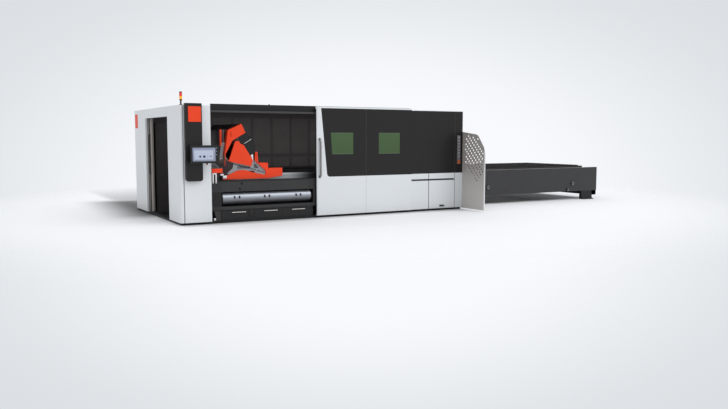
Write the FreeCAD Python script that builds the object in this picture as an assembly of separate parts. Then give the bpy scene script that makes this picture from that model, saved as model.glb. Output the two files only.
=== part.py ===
import FreeCAD, Part
import os
from math import cos, radians, sin, tan

# Fiber laser cutting machine: an enclosed cabin with a travelling gantry over a bed, a sliding
# front door, a telescopic side door, drawers, a swivelling screen and a shuttle table beside it.
# Lengths are in millimetres. While it is modelled, X runs along the front from the cabin's left
# face, Y runs back from the cover front, and Z runs up from the floor.

Vector = FreeCAD.Vector

# ---- cabin shell
CABIN_LENGTH = 7024.0
CABIN_DEPTH = 3880.0
CABIN_HEIGHT = 2400.0
ROOF_THICKNESS = 12.0
COVER_WALL = 40.0
SIDE_WALL = 44.0
PANEL_GAP = 3.0
SKIRT_GAP = 50.0
CORNER_RADIUS = 65.0
EDGE_RADIUS = 6.0
COLUMN_WIDTH = 647.5
DOORWAY_FRONT = 857.0
DOORWAY_HEADROOM = 204.0
REAR_CORNER = 160.0
COLUMN_SEAM_OFFSET = 7.0
COLUMN_SEAM_WIDTH = 20.0
COLUMN_SEAM_DEPTH = 16.0
SEAM_WIDTH = 8.0
SEAM_DEPTH = 8.0
REAR_PANEL_PITCH = 548.0
REAR_PANEL_WIDTH = 490.0
REAR_PANEL_POCKET = 8.0
REAR_PANEL_LEVELS = ((320.0, 1250.0), (1329.0, 2265.0))
ROOF_LID_COUNT = 5
ROOF_LID_HEIGHT = 18.0
ROOF_LID_MARGIN = 260.0
ROOF_LID_GAP = 90.0

# ---- plinth
PLINTH_RECESS = 30.0
PLINTH_FRONT = 64.0
PLINTH_WIDTH = 140.0

# ---- front sliding door and what carries it
DOOR_LENGTH = 2488.0
DOOR_END_GAP = 4.0
DOOR_THICKNESS = 45.0
DOOR_RISE = 35.0
DOOR_SKIN = 15.0
DOOR_STILE = 90.0
DOOR_EDGE_RADIUS = 38.0
GLOSS_PANEL_THICKNESS = 8.0
GLOSS_PANEL_BOTTOM = 896.0
GLOSS_SLANT_TOP = 117.0
GLOSS_SLANT_BOTTOM = 262.0
GLOSS_CORNER_RADIUS = 75.0
DOOR_SEAM_OFFSET = 1253.0
WINDOW_BOTTOM = 1392.0
WINDOW_TOP = 1866.0
LEFT_WINDOW_OFFSET = 383.0
LEFT_WINDOW_LENGTH = 536.0
LEFT_WINDOW_SLANT = 28.0
RIGHT_WINDOW_OFFSET = 1588.0
RIGHT_WINDOW_LENGTH = 571.0
WINDOW_LIP = 14.0
WINDOW_CLEARANCE = 1.0
WINDOW_CORNER = 8.0
DOOR_HANDLE_OFFSET = 75.0
DOOR_HANDLE_BOTTOM = 869.0
DOOR_HANDLE_TOP = 1753.0
DOOR_HANDLE_WIDTH = 36.0
DOOR_HANDLE_REACH = 62.0
DOOR_HANDLE_BAR = 24.0
HEADER_FRONT = 100.0
HEADER_DEPTH = 200.0
HEADER_DROP = 132.0
HEADER_WALL = 6.0
CREST_INSET = 34.5
CREST_THICKNESS = 12.0
CREST_RISE = 44.0
RAIL_DEPTH = 40.0
RAIL_HEIGHT = 44.0
RAIL_LIP = 8.0
RAIL_FLOOR = 12.0
SHOE_LENGTH = 140.0
SHOE_INSET = 110.0
SHOE_ARM = 26.0
SHOE_SIDE_CLEARANCE = 1.0
RUNNING_GAP = 0.3
FRONT_WALL_LAP = 42.0
FRONT_WALL_THICKNESS = 40.0

# ---- right front body
RIGHT_BODY_LENGTH = 1514.0
RIGHT_BODY_SET_BACK = 30.0
RIGHT_PANEL_THICKNESS = 25.0
RIGHT_SPLIT = 900.0
RIGHT_SEAMS = ((514.0, 14.0), (1280.0, 6.0))
GROOVE_BOTTOM = 735.0
GROOVE_HEIGHT = 30.0
GROOVE_DEPTH = 12.0
GROOVE_MARGIN = 249.0
FLAP_OFFSET = 520.0
FLAP_LENGTH = 760.0
FLAP_BOTTOM = 62.0
FLAP_THICKNESS = 18.0
FLAP_CLEARANCE = 3.0
FLAP_PIN_RADIUS = 4.5
FLAP_PIN_REACH = 14.0
GRIP_LENGTH = 138.0
GRIP_HEIGHT = 40.0
GRIP_REACH = 14.0
GRIP_RISE = 27.0
STRIP_MARGIN = 71.0
STRIP_WIDTH = 100.0
STRIP_BOTTOM = 1114.0
STRIP_TOP = 1810.0
STRIP_THICKNESS = 14.0
STRIP_LAMP_COUNT = 7
STRIP_LAMP_PITCH = 76.0
STRIP_LAMP_RADIUS = 17.0
STRIP_LAMP_HEIGHT = 4.0
STOP_WELL_HEIGHT = 96.0
STOP_RIM = 8.0
STOP_PLATE_THICKNESS = 16.0
STOP_TRAVEL = 4.0
STOP_CLEARANCE = 0.3

# ---- right end wall and the gate in it
END_WALL = 40.0
SLOT_BOTTOM = 480.0
SLOT_TOP = 1090.0
GATE_THICKNESS = 10.0
GATE_STANDOFF = 34.0
GATE_GUIDE_LIP = 12.0
GATE_TRAVEL = 560.0
GATE_SHOULDER = 825.0
GATE_BOTTOM = 545.0
GATE_HEIGHT = 620.0
GATE_SIDE_CLEARANCE = 15.0

# ---- perforated fence beside the cabin
FENCE_THICKNESS = 4.0
FENCE_REACH = 830.0
FENCE_OVERLAP = 40.0
FENCE_BOTTOM = 30.0
FENCE_FLANGE = 20.0
FENCE_TOP_REAR = 1904.0
FENCE_TOP_KNEE = (-560.0, 1828.0)
FENCE_TOP_FRONT = 1480.0
FENCE_KNEE_RADIUS = 200.0
FENCE_FRONT_RADIUS = 240.0
FENCE_TIP_HOLE = (-540.0, 737.0)
FENCE_HOLE_RADIUS = 22.0
FENCE_HOLE_SIDES = 8
FENCE_STEP_UP = 53.5
FENCE_STEP_OUT = 72.0
FENCE_MARGIN = 56.0

# ---- machine bed
BED_LEFT = 670.0
BED_END_GAP = 104.0
BED_FRONT = 60.0
BED_BEAM_DEPTH = 548.0
BED_BOTTOM = 270.0
BED_TOP = 874.0
BED_WALL = 12.0
BED_REAR_GAP = 132.0
RECESS_LEFT = 873.0
RECESS_RIGHT = 2960.0
RECESS_BOTTOM = 340.0
RECESS_TOP = 641.0
RECESS_DEPTH = 270.0
BED_HOLES = ((1313.0, 804.0), (1270.0, 697.0))
BED_HOLE_RADIUS = 13.0
DUCT_RADIUS = 122.0
DUCT_WALL = 6.0
DUCT_END_GAPS = (32.0, 55.0)
DUCT_COLLAR_RADIUS = 80.0
DUCT_HEIGHT = 499.0
DUCT_SLOTS = (1148.0, 1816.0, 2546.0)
DUCT_SLOT_PITCH = 106.0
DUCT_SLOT_WIDTH = 22.0
DUCT_SLOT_HEIGHT = 50.0
DUCT_SLOT_RISE = 13.0
FRAME_LEAD = 112.0
FRAME_PLAIN_COUNT = 5
FRAME_PLAIN_START = 140.0
FRAME_PLAIN_END = 120.0
FRAME_WIDTH = 44.0
FRAME_HEIGHT = 110.0
FRAME_FRONT = 102.0
FRAME_FOOT_START = 214.0
FRAME_FOOT_LENGTH = 100.0
FRAME_FOOT_FLARE = 10.0
CORNER_FOOT_HEAD = 713.0
CORNER_FOOT_HEEL = (757.0, 137.0)
CORNER_FOOT_DEPTH = (92.0, 200.0)
X_RAIL_FRONT = 215.0
X_RAIL_WIDTH = 220.0
X_RAIL_PEDESTAL = 76.0
X_RAIL_TOP = 1000.0
X_RAIL_STEP = 22.0
X_RAIL_INSETS = (30.0, 20.0)

# ---- drawers below the bed
DRAWER_LEFTS = (872.0, 1585.0, 2230.0)
DRAWER_WIDTH = 590.0
DRAWER_BOTTOM = 66.0
DRAWER_TOP = 258.0
DRAWER_REAR = 596.0
APRON_FRONT = 85.0
APRON_THICKNESS = 12.0
APRON_LEAD = 10.0
SLEEVE_WALL = 4.0
DRAWER_CLEARANCE = 2.0
DRAWER_TRAY_WALL = 4.0
DRAWER_TRAY_HEIGHT = 150.0
DRAWER_FACE = 12.0
DRAWER_PROUD = 4.0
DRAWER_HANDLE_OFFSET = 218.0
DRAWER_HANDLE_LENGTH = 307.0
DRAWER_HANDLE_HEIGHT = 212.0
DRAWER_HANDLE_BAR = 12.0
DRAWER_HANDLE_STANDOFF = 20.0
LATCH_COVER_WIDTH = 92.0
LATCH_COVER_HEIGHT = 140.0
LATCH_COVER_THICKNESS = 12.0

# ---- gantry: the (X, Z) corners of its end view
BEAM_HEEL = (996.0, 1381.0)
BEAM_SHOULDER = (1076.0, 1531.0)
BEAM_CREST = (1168.0, 1699.0)
COVER_BACK = (1076.0, 1911.0)
COVER_PEAK = (1370.0, 2046.0)
COVER_TIP = (1455.0, 1859.0)
COVER_LIP_X = 1300.0
COVER_SLOT_LEFT = 1122.0
COVER_SLOT_LENGTH = 28.0
COVER_SLOT_HEIGHT = 14.0
COVER_SLOT_FLOORS = (1782.0, 1816.0, 1850.0)
HOOK_CORNERS = ((1320.0, 1675.0), (1337.0, 1634.0))
TRACK_TOP = (1416.0, 1600.0)
TRACK_BOTTOM = (1611.0, 1287.0)
BEAM_TOE = (1571.0, 1155.0)
BEAM_UNDER = (1081.0, 1268.0)
SHIELD_CREST = (1233.0, 1690.0)
HOOD_ROOT = ((1455.0, 1842.0), (1310.0, 1760.0))
# The hood's other corners: along the track from its top, out from the track, and radius.
HOOD_OUTSIDE = ((-38.506, 240.7764, 90.0), (178.836, 211.4088, 120.0), (275.6759, 94.5241, 0.0))
HOOD_INSIDE = ((269.3305, 84.339, 0.0), (167.6204, 197.1887, 108.0), (-34.9862, 225.6235, 78.0))
HOOD_CAP_X = 1539.4
SKIRT_OUTLINE = ((934.0, 893.0), (934.0, 927.0), (1045.0, 970.0), (1284.0, 1075.0), (1430.0, 1080.0),
                 (1684.0, 1009.0), (1949.0, 962.0), (1958.0, 1114.0), (2283.0, 1114.0), (2283.0, 945.0),
                 (1945.0, 893.0))
CASTING_CROWN = (1641.0, 1285.0)
CASTING_SHOULDER = (1941.0, 1026.0)
CASTING_BACK = ((1046.0, 1045.0, 20.0), (1133.0, 1168.0, 30.0))
CASTING_CHEEK_X = 1150.0
CASTING_WINDOW = ((1260.0, 1110.0, 14.0), (1590.0, 1110.0, 14.0), (1560.0, 1138.0, 8.0),
                  (1290.0, 1196.0, 14.0))
CASTING_NOTCH = ((1640.0, 1110.0, 14.0), (1760.0, 1110.0, 14.0), (1650.0, 1225.0, 14.0))
FOOT_BOX_SPAN = (1707.0, 1953.0)
FOOT_BOX_TOP = 1223.0
FOOT_BOX_LAP = 53.0
FOOT_BOX_LAP_RISE = (962.0, 1060.0)
POST_FOOT_SPAN = (1660.0, 1735.0)
POST_HEAD_SPAN = (1672.0, 1716.0)
POST_TOP = 1458.0
GANTRY_FRONT = 182.0
GANTRY_PLATE = 30.0
GANTRY_WALL = 10.0
GANTRY_EDGE_RADIUS = 5.0
CASTING_LENGTH = 228.0
CASTING_LEFT_FOOT = (968.0, 1190.0)
CASTING_RIGHT_FOOT = 1690.0
CASTING_ARCH = 60.0
CASTING_POCKET = 40.0
CARRIAGE_LENGTH = 420.0
CARRIAGE_DEPTH = 70.0
CARRIAGE_TOP_INSET = 26.0
CARRIAGE_BOTTOM_INSET = 30.0
CARRIAGE_EDGE_RADII = (12.0, 30.0)
CORNER_BLEND = 10.0
BRACKET_WIDTH = 60.0
BRACKET_TOP = 1385.0
BRACKET_INSET = 60.0
HEAD_X = 1755.0
HEAD_PLATE = 14.0
HEAD_PLATE_HEIGHT = 260.0
HEAD_PLATE_BOTTOM = 1170.0
HEAD_WIDTH = 150.0
HEAD_BODY = 96.0
HEAD_TIP = 1110.0
HEAD_TOP = 1475.0
NOZZLE_RADIUS = 6.0
NOZZLE_SHANK_RADIUS = 30.0

# ---- shuttle table and pallets
TABLE_LENGTH = 5316.0
TABLE_BOTTOM = 240.0
TABLE_TOP = 911.0
TABLE_PLATE = 8.0
TABLE_FLANGE = 72.0
TABLE_BOSSES = ((973.0, 469.0, 60.0), (1150.0, 288.0, 46.0), (4044.0, 456.0, 60.0))
TABLE_BOSS_REACH = 12.0
TABLE_BOLT_PITCH = 760.0
TABLE_BOLT_RADIUS = 9.0
TABLE_BOLT_HEIGHT = 812.0
END_BOX_LENGTH = 182.0
END_BOX_BOTTOM = 110.0
END_BOX_TOP = 880.0
END_BOX_WALL = 8.0
FOOT_OFFSETS = (96.0, 610.0)
FOOT_LENGTH = 410.0
FOOT_REACH = 100.0
FOOT_INNER = 60.0
FOOT_PLATE = 16.0
FOOT_HOLE_RADIUS = 9.0
FOOT_HOLE_SPACING_X = 320.0
FOOT_HOLE_INSET = 34.0
CROSS_COUNT = 4
CROSS_OFFSETS = (251.0, 455.0)
CROSS_WIDTH = 100.0
CROSS_HEIGHT = 90.0
PALLET_START_GAP = 476.0
PALLET_END_GAP = 390.0
PALLET_SIDE_GAP = 192.0
PALLET_TRAVEL = 5900.0
PALLET_FRAME_HEIGHT = 120.0
PALLET_TUBE = 60.0
PALLET_TOP = 975.0
LEVEL_STEP = 265.0
SLAT_RISE = 25.0
SLAT_DROP = 100.0
SLAT_THICKNESS = 8.0
SLAT_PITCH = 76.0
WHEEL_RADIUS = 40.0
WHEEL_WIDTH = 56.0
WHEEL_TREAD = 54.0
WHEEL_COUNT = 4
AXLE_RADIUS = 15.0
PALLET_RAIL_LEAD = 200.0
PALLET_RAIL_END_GAP = 220.0
PALLET_RAIL_FLANGE = 152.0
PALLET_RAIL_WEB = 60.0
PALLET_RAIL_WALL = 8.0

# ---- side door
LEAF_LAP = 44.5
LEAF_PARK_GAP = 86.0
LEAF_BOTTOM_GAP = 0.3
LEAF_RISE = 24.0
LEAF_RIM = (70.0, 130.0)
TRAIL_LEAF_X = 60.0
TRAIL_LEAF = 28.0
LEAD_LEAF_X = 100.0
LEAD_LEAF = 75.0
LEAD_PROUD = 51.0
LEAF_STEP = 60.0
SIDE_RAIL_DEPTH = 150.0
SIDE_RAIL_HEIGHT = 56.0
SIDE_RAIL_SLOT = 30.0
SIDE_HANDLE_BOTTOM = 894.0
SIDE_HANDLE_TOP = 1848.0
SIDE_HANDLE_REACH = 60.0
SIDE_HANDLE_BAR = 20.0
SIDE_HANDLE_WIDTH = 28.0

# ---- cabinets inside the rear left corner
CABINET_LEFT = 226.0
CABINET_LENGTH = 444.0
CABINET_REAR_GAP = 240.0
CABINET_DOOR_INSET = 30.0
CABINET_DOOR_JOINT = 4.0
CABINET_DOOR_FLOOR = 70.0
CABINET_DOOR_TOP = 30.0
CABINET_DEPTH = 440.0
CABINET_HEIGHT = 2100.0
SOURCE_HEIGHT = 1650.0
CABINET_WALL = 6.0

# ---- console, screen and signal tower on the column
CONSOLE_LEFT = 107.0
CONSOLE_RIGHT = 443.0
CONSOLE_BOTTOM = 890.0
CONSOLE_RISE = 37.0
CONSOLE_DEPTH = 100.0
CONSOLE_WALL = 8.0
CONSOLE_CORNER = 48.0
ACCENT_THICKNESS = 5.0
CONSOLE_ACCENT_SPAN = (165.0, 423.0)
CONSOLE_ACCENT_DROP = (367.0, 62.0)
SIDE_ACCENT_SETBACK = (380.0, 130.0)
SIDE_ACCENT_DROP = (420.0, 95.0)
SWIVEL_X = 300.0
SWIVEL_STANDOFF = 50.0
SWIVEL_HEIGHT = 1430.0
BARREL_RADIUS = 24.0
BARREL_LENGTH = 90.0
PIN_RADIUS = 9.0
PIN_CLEARANCE = 0.05
LUG_THICKNESS = 18.0
LUG_GAP = 0.3
SCREEN_LEFT = 153.0
SCREEN_RIGHT = 716.0
SCREEN_BOTTOM = 1253.0
SCREEN_TOP = 1607.0
SCREEN_FRONT = 300.0
SCREEN_THICKNESS = 42.0
SCREEN_CORNER = 16.0
DISPLAY = (180.0, 642.0, 1293.0, 1561.0)
DISPLAY_THICKNESS = 4.0
KNUCKLE_LENGTH = 80.0
KNUCKLE_RADIUS = 15.0
KNUCKLE_STANDOFF = 19.0
TILT_PIN_RADIUS = 7.0
TILT_LUG = 14.0
ARM_HEIGHT = 44.0
SCREEN_STOP_X = 472.0
SCREEN_STOP_RADIUS = 16.0
SCREEN_STOP_STEM = 10.0
SCREEN_STOP_HEIGHT = 14.0
SCREEN_STOP_BASE = 16.0
TOWER_X = 83.0
TOWER_Y = 100.0
TOWER_RADIUS = 29.0
TOWER_FOOT_RADIUS = 36.0
TOWER_FOOT_HEIGHT = 12.0
TOWER_POLE_HEIGHT = 115.0
TOWER_LAMP_HEIGHT = 64.0
TOWER_CAP_HEIGHT = 18.0
TOWER_ROD_RADIUS = 7.0
LAMP_JOINT = 3.0

# ---- sizes that follow from those above
cover_top = CABIN_HEIGHT - ROOF_THICKNESS
inner_rear = CABIN_DEPTH - SIDE_WALL
end_wall_left = CABIN_LENGTH - END_WALL
parked_rear = inner_rear - LEAF_PARK_GAP - LEAF_STEP + LEAD_PROUD - LEAF_LAP
doorway_rear = (parked_rear + DOORWAY_FRONT / 2) * 2 / 3
doorway_top = CABIN_HEIGHT - DOORWAY_HEADROOM
right_body_left = CABIN_LENGTH - RIGHT_BODY_LENGTH
right_panel_rear = RIGHT_BODY_SET_BACK + RIGHT_PANEL_THICKNESS
door_right = right_body_left - DOOR_END_GAP
door_left = door_right - DOOR_LENGTH
door_top = CABIN_HEIGHT + DOOR_RISE
header_bottom = CABIN_HEIGHT - HEADER_DROP
header_rear = HEADER_FRONT + HEADER_DEPTH
rail_front = HEADER_FRONT - RAIL_DEPTH
rail_top = header_bottom + RAIL_HEIGHT
front_wall_left = door_left + FRONT_WALL_LAP
groove_end = CABIN_LENGTH - GROOVE_MARGIN
flap_left = right_body_left + FLAP_OFFSET
flap_right = flap_left + FLAP_LENGTH
flap_axis_y = RIGHT_BODY_SET_BACK + FLAP_THICKNESS / 2
flap_axis_z = GROOVE_BOTTOM - FLAP_CLEARANCE - FLAP_THICKNESS / 2
strip_left = CABIN_LENGTH - STRIP_MARGIN - STRIP_WIDTH
bed_right = CABIN_LENGTH - BED_END_GAP
bed_inner = BED_FRONT + BED_BEAM_DEPTH
bed_centre_y = (BED_FRONT + CABIN_DEPTH - BED_REAR_GAP) / 2
bed_inner_rear = 2 * bed_centre_y - bed_inner
bar_bottom = BED_BOTTOM - FRAME_HEIGHT
apron_left = DRAWER_LEFTS[0] - APRON_LEAD
duct_left = RECESS_LEFT + DUCT_END_GAPS[0]
duct_right = RECESS_RIGHT - DUCT_END_GAPS[1]
duct_y = BED_FRONT + DUCT_RADIUS + 5.0
x_rail_left = BED_LEFT + X_RAIL_INSETS[0]
x_rail_right = bed_right - X_RAIL_INSETS[1]
gantry_back = 2 * bed_centre_y - GANTRY_FRONT
beam_front = GANTRY_FRONT + GANTRY_PLATE
beam_back = gantry_back - GANTRY_PLATE
casting_back = beam_front + CASTING_LENGTH
table_right = CABIN_LENGTH + TABLE_LENGTH
foot_lefts = (CABIN_LENGTH + FOOT_OFFSETS[0], table_right - FOOT_OFFSETS[1])
pallet_rest = CABIN_LENGTH + PALLET_START_GAP
pallet_length = TABLE_LENGTH - PALLET_START_GAP - PALLET_END_GAP
pallet_width = bed_inner_rear - bed_inner - 2 * PALLET_SIDE_GAP
pallet_front = bed_inner + PALLET_SIDE_GAP
pallet_rail_left = pallet_rest - PALLET_TRAVEL - PALLET_RAIL_LEAD
pallet_rail_right = table_right - PALLET_RAIL_END_GAP
slat_count = int((pallet_length - 2 * PALLET_TUBE) // SLAT_PITCH) - 1
slat_pitch = (pallet_length - 2 * PALLET_TUBE) / (slat_count + 1)
frame_z = PALLET_TOP - SLAT_RISE - PALLET_FRAME_HEIGHT
wheel_z = frame_z + PALLET_FRAME_HEIGHT / 4
upper_rail_top = wheel_z - WHEEL_RADIUS - RUNNING_GAP
leaf_length = (doorway_rear - DOORWAY_FRONT) / 2 + LEAF_LAP
leaf_top = doorway_top + LEAF_RISE
lead_leaf_front = doorway_rear - LEAD_PROUD
trail_leaf_front = lead_leaf_front + LEAF_STEP
side_rail_bottom = doorway_top
cabinet_front = CABIN_DEPTH - CABINET_REAR_GAP - 2 * CABINET_DEPTH
console_top = CABIN_HEIGHT + CONSOLE_RISE
screen_rear = -SCREEN_FRONT + SCREEN_THICKNESS
swivel_y = -CONSOLE_DEPTH - SWIVEL_STANDOFF
tilt_y = screen_rear + KNUCKLE_STANDOFF
screen_centre_x = (SCREEN_LEFT + SCREEN_RIGHT) / 2
stop_y = -SCREEN_FRONT + SCREEN_THICKNESS / 2
origin_shift = Vector(-(table_right - ACCENT_THICKNESS) / 2, -(CABIN_DEPTH - FENCE_REACH) / 2, 0)


# ---- the gantry's outlines, which share their corners where two pieces meet
def on_line(start, end, x):
    """The point at x on the line through two points."""
    return x, start[1] + (x - start[0]) * (end[1] - start[1]) / (end[0] - start[0])


def face_point(run, rise):
    """A point in X and Z, run along the beam's sloping track face and rise off it."""
    top = Vector(*TRACK_TOP)
    bottom = Vector(*TRACK_BOTTOM)
    down = (bottom - top).normalize()
    out = Vector(-down.y, down.x, 0)
    point = top + down * run + out * rise
    return point.x, point.y


cover_lip = on_line(BEAM_CREST, COVER_TIP, COVER_LIP_X)
casting_cheek = on_line(BEAM_TOE, BEAM_UNDER, CASTING_CHEEK_X)
track = (TRACK_TOP, TRACK_BOTTOM, BEAM_TOE, BEAM_UNDER)
beam_outline = (BEAM_HEEL, BEAM_SHOULDER, BEAM_CREST, cover_lip) + HOOK_CORNERS + track
arm_outline = (BEAM_HEEL, COVER_BACK, COVER_PEAK, COVER_TIP, BEAM_CREST, BEAM_SHOULDER)
shield_outline = (SHIELD_CREST,) + HOOK_CORNERS + track
hood_outside = tuple(face_point(run, rise) + (radius,) for run, rise, radius in HOOD_OUTSIDE)
hood_inside = tuple(face_point(run, rise) + (radius,) for run, rise, radius in HOOD_INSIDE)
hood_outline = (cover_lip, COVER_TIP) + hood_outside + hood_inside + HOOD_ROOT
hood_foot = on_line(TRACK_TOP, TRACK_BOTTOM, HOOD_CAP_X)
hood_cap_outline = (cover_lip, COVER_TIP) + hood_outside + (hood_foot, TRACK_TOP) + HOOK_CORNERS[::-1]
foot_box_outline = (on_line(CASTING_CROWN, CASTING_SHOULDER, FOOT_BOX_SPAN[0]),
                    (FOOT_BOX_SPAN[1], FOOT_BOX_TOP), (FOOT_BOX_SPAN[1], CASTING_SHOULDER[1]),
                    CASTING_SHOULDER)
post_outline = (on_line(CASTING_CROWN, CASTING_SHOULDER, POST_FOOT_SPAN[0]), (POST_HEAD_SPAN[0], POST_TOP),
                (POST_HEAD_SPAN[1], POST_TOP), (POST_FOOT_SPAN[1], FOOT_BOX_TOP),
                on_line(CASTING_CROWN, CASTING_SHOULDER, POST_FOOT_SPAN[1]))


# ---- drawing helpers
def in_plane(plane, a, b, level):
    """The point (a, b) of a drawing plane at its level along the third axis."""
    if plane == "xy":
        return Vector(a, b, level)
    if plane == "xz":
        return Vector(a, level, b)
    return Vector(level, a, b)


def along(plane, length):
    """The vector that leaves a drawing plane."""
    return in_plane(plane, 0, 0, length)


def corner_arc(before, here, after, radius):
    """Start, middle and end of the arc that rounds one corner."""
    if radius == 0:
        return here, here, here
    back = (before - here).normalize()
    on = (after - here).normalize()
    half = back.getAngle(on) / 2
    reach = radius / tan(half)
    inward = (back + on).normalize()
    middle = here + inward * (radius / sin(half) - radius)
    return here + back * reach, middle, here + on * reach


def outline(corners, plane, level):
    """A closed face through (a, b) or (a, b, radius) corners."""
    points = [in_plane(plane, corner[0], corner[1], level) for corner in corners]
    radii = [corner[2] if len(corner) > 2 else 0 for corner in corners]
    count = len(points)
    arcs = [corner_arc(points[i - 1], points[i], points[(i + 1) % count], radii[i]) for i in range(count)]
    edges = []
    for i, (start, middle, end) in enumerate(arcs):
        following = arcs[(i + 1) % count][0]
        if radii[i]:
            edges.append(Part.Arc(start, middle, end).toShape())
        if (following - end).Length > 1e-6:
            edges.append(Part.LineSegment(end, following).toShape())
    return Part.Face(Part.Wire(edges))


def prism(corners, plane, low, high):
    """A solid of one outline, from low to high across its plane."""
    return outline(corners, plane, low).extrude(along(plane, high - low))


def tube(corners, plane, low, high, wall):
    """A hollow section of one outline and one wall, open at both ends."""
    face = outline(corners, plane, low)
    hole = face.makeOffset2D(-wall)
    return face.extrude(along(plane, high - low)).cut(hole.extrude(along(plane, high - low)))


def block(x, y, z):
    """A box between two places on each axis."""
    return Part.makeBox(x[1] - x[0], y[1] - y[0], z[1] - z[0], Vector(x[0], y[0], z[0]))


def rounded(a, b, radius):
    """The four corners of a rounded rectangle."""
    return [(a[0], b[0], radius), (a[1], b[0], radius), (a[1], b[1], radius), (a[0], b[1], radius)]


def rod(start, direction, length, radius):
    """A round bar."""
    return Part.makeCylinder(radius, length, Vector(*start), Vector(*direction))


def fused(shapes):
    """Several shapes welded into one."""
    return shapes[0].multiFuse(shapes[1:]).removeSplitter()


def across_bed(shape):
    """The same shape on the other side of the bed's centre line."""
    return shape.mirror(Vector(0, bed_centre_y, 0), Vector(0, 1, 0))


# ---- cabin shell
def plinth():
    """The dark frame on the floor that the covers stand on."""
    outer = block((PLINTH_RECESS, CABIN_LENGTH - PLINTH_RECESS), (PLINTH_FRONT, CABIN_DEPTH - PLINTH_RECESS),
                  (0, SKIRT_GAP))
    inner = block((PLINTH_RECESS + PLINTH_WIDTH, CABIN_LENGTH - PLINTH_RECESS - PLINTH_WIDTH),
                  (PLINTH_FRONT + PLINTH_WIDTH, CABIN_DEPTH - PLINTH_RECESS - PLINTH_WIDTH), (0, SKIRT_GAP))
    return outer.cut(inner)


def column_cover():
    """The white column at the front left corner, with one round corner and a seam."""
    corners = [(0, 0, CORNER_RADIUS), (COLUMN_WIDTH, 0, EDGE_RADIUS),
               (COLUMN_WIDTH, DOORWAY_FRONT, EDGE_RADIUS), (0, DOORWAY_FRONT, EDGE_RADIUS)]
    cover = tube(corners, "xy", SKIRT_GAP, cover_top, COVER_WALL)
    seam = CORNER_RADIUS + COLUMN_SEAM_OFFSET
    return cover.cut(block((seam, seam + COLUMN_SEAM_WIDTH), (0, COLUMN_SEAM_DEPTH), (SKIRT_GAP, cover_top)))


def left_side_wall():
    """The side wall around the doorway, with the round rear corner."""
    start = DOORWAY_FRONT + PANEL_GAP
    corners = [(0, start), (SIDE_WALL, start), (SIDE_WALL, inner_rear), (REAR_CORNER, inner_rear),
               (REAR_CORNER, CABIN_DEPTH), (0, CABIN_DEPTH, CORNER_RADIUS)]
    doorway = block((0, SIDE_WALL), (start, doorway_rear), (SKIRT_GAP, doorway_top))
    return prism(corners, "xy", SKIRT_GAP, cover_top).cut(doorway)


def rear_panel_lefts():
    """Left edges of the pressed fields of the rear wall."""
    start = REAR_CORNER + PANEL_GAP
    count = int((end_wall_left - start) // REAR_PANEL_PITCH)
    margin = (end_wall_left - start - count * REAR_PANEL_PITCH + REAR_PANEL_PITCH - REAR_PANEL_WIDTH) / 2
    return [start + margin + i * REAR_PANEL_PITCH for i in range(count)]


def rear_wall():
    """The rear wall, with pressed fields inside and seams outside."""
    wall = block((REAR_CORNER + PANEL_GAP, end_wall_left), (inner_rear, CABIN_DEPTH), (SKIRT_GAP, cover_top))
    cuts = []
    for left in rear_panel_lefts():
        for low, high in REAR_PANEL_LEVELS:
            cuts.append(block((left, left + REAR_PANEL_WIDTH), (inner_rear, inner_rear + REAR_PANEL_POCKET),
                              (low, high)))
    for left in rear_panel_lefts()[1::2]:
        middle = left - (REAR_PANEL_PITCH - REAR_PANEL_WIDTH) / 2
        cuts.append(block((middle - SEAM_WIDTH / 2, middle + SEAM_WIDTH / 2),
                          (CABIN_DEPTH - SEAM_DEPTH, CABIN_DEPTH), (SKIRT_GAP, cover_top)))
    return wall.cut(Part.makeCompound(cuts))


def roof():
    """The roof sheet, cut back for the header and the door, with a row of raised lids."""
    corners = [(0, 0, CORNER_RADIUS), (COLUMN_WIDTH, 0), (COLUMN_WIDTH, header_rear),
               (right_body_left, header_rear), (right_body_left, RIGHT_BODY_SET_BACK),
               (CABIN_LENGTH, RIGHT_BODY_SET_BACK), (CABIN_LENGTH, CABIN_DEPTH),
               (0, CABIN_DEPTH, CORNER_RADIUS)]
    sheet = prism(corners, "xy", cover_top, CABIN_HEIGHT)
    room = CABIN_LENGTH - 2 * ROOF_LID_MARGIN
    pitch = (room + ROOF_LID_GAP) / ROOF_LID_COUNT
    lids = []
    for i in range(ROOF_LID_COUNT):
        left = ROOF_LID_MARGIN + i * pitch
        face = rounded((left, left + pitch - ROOF_LID_GAP),
                       (header_rear + ROOF_LID_MARGIN, CABIN_DEPTH - ROOF_LID_MARGIN), CORNER_RADIUS)
        lids.append(prism(face, "xy", CABIN_HEIGHT, CABIN_HEIGHT + ROOF_LID_HEIGHT))
    return fused([sheet] + lids)


def header_beam():
    """The box beam over the front opening, closed at its right end, with a crest along its front edge."""
    beam = block((COLUMN_WIDTH, right_body_left), (HEADER_FRONT, header_rear), (header_bottom, CABIN_HEIGHT))
    hollow = block((COLUMN_WIDTH, right_body_left - HEADER_WALL),
                   (HEADER_FRONT + HEADER_WALL, header_rear - HEADER_WALL),
                   (header_bottom + HEADER_WALL, CABIN_HEIGHT - HEADER_WALL))
    crest = block((COLUMN_WIDTH + CREST_INSET, right_body_left),
                  (HEADER_FRONT, HEADER_FRONT + CREST_THICKNESS), (CABIN_HEIGHT, CABIN_HEIGHT + CREST_RISE))
    return fused([beam.cut(hollow), crest])


def door_rail():
    """The channel on the header that the front door's shoes run in."""
    floor = header_bottom + RAIL_FLOOR
    corners = [(rail_front, header_bottom, 4), (HEADER_FRONT, header_bottom), (HEADER_FRONT, rail_top),
               (HEADER_FRONT - RAIL_LIP, rail_top), (HEADER_FRONT - RAIL_LIP, floor),
               (rail_front + RAIL_LIP, floor), (rail_front + RAIL_LIP, rail_top), (rail_front, rail_top)]
    return prism(corners, "yz", COLUMN_WIDTH, door_right)


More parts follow.
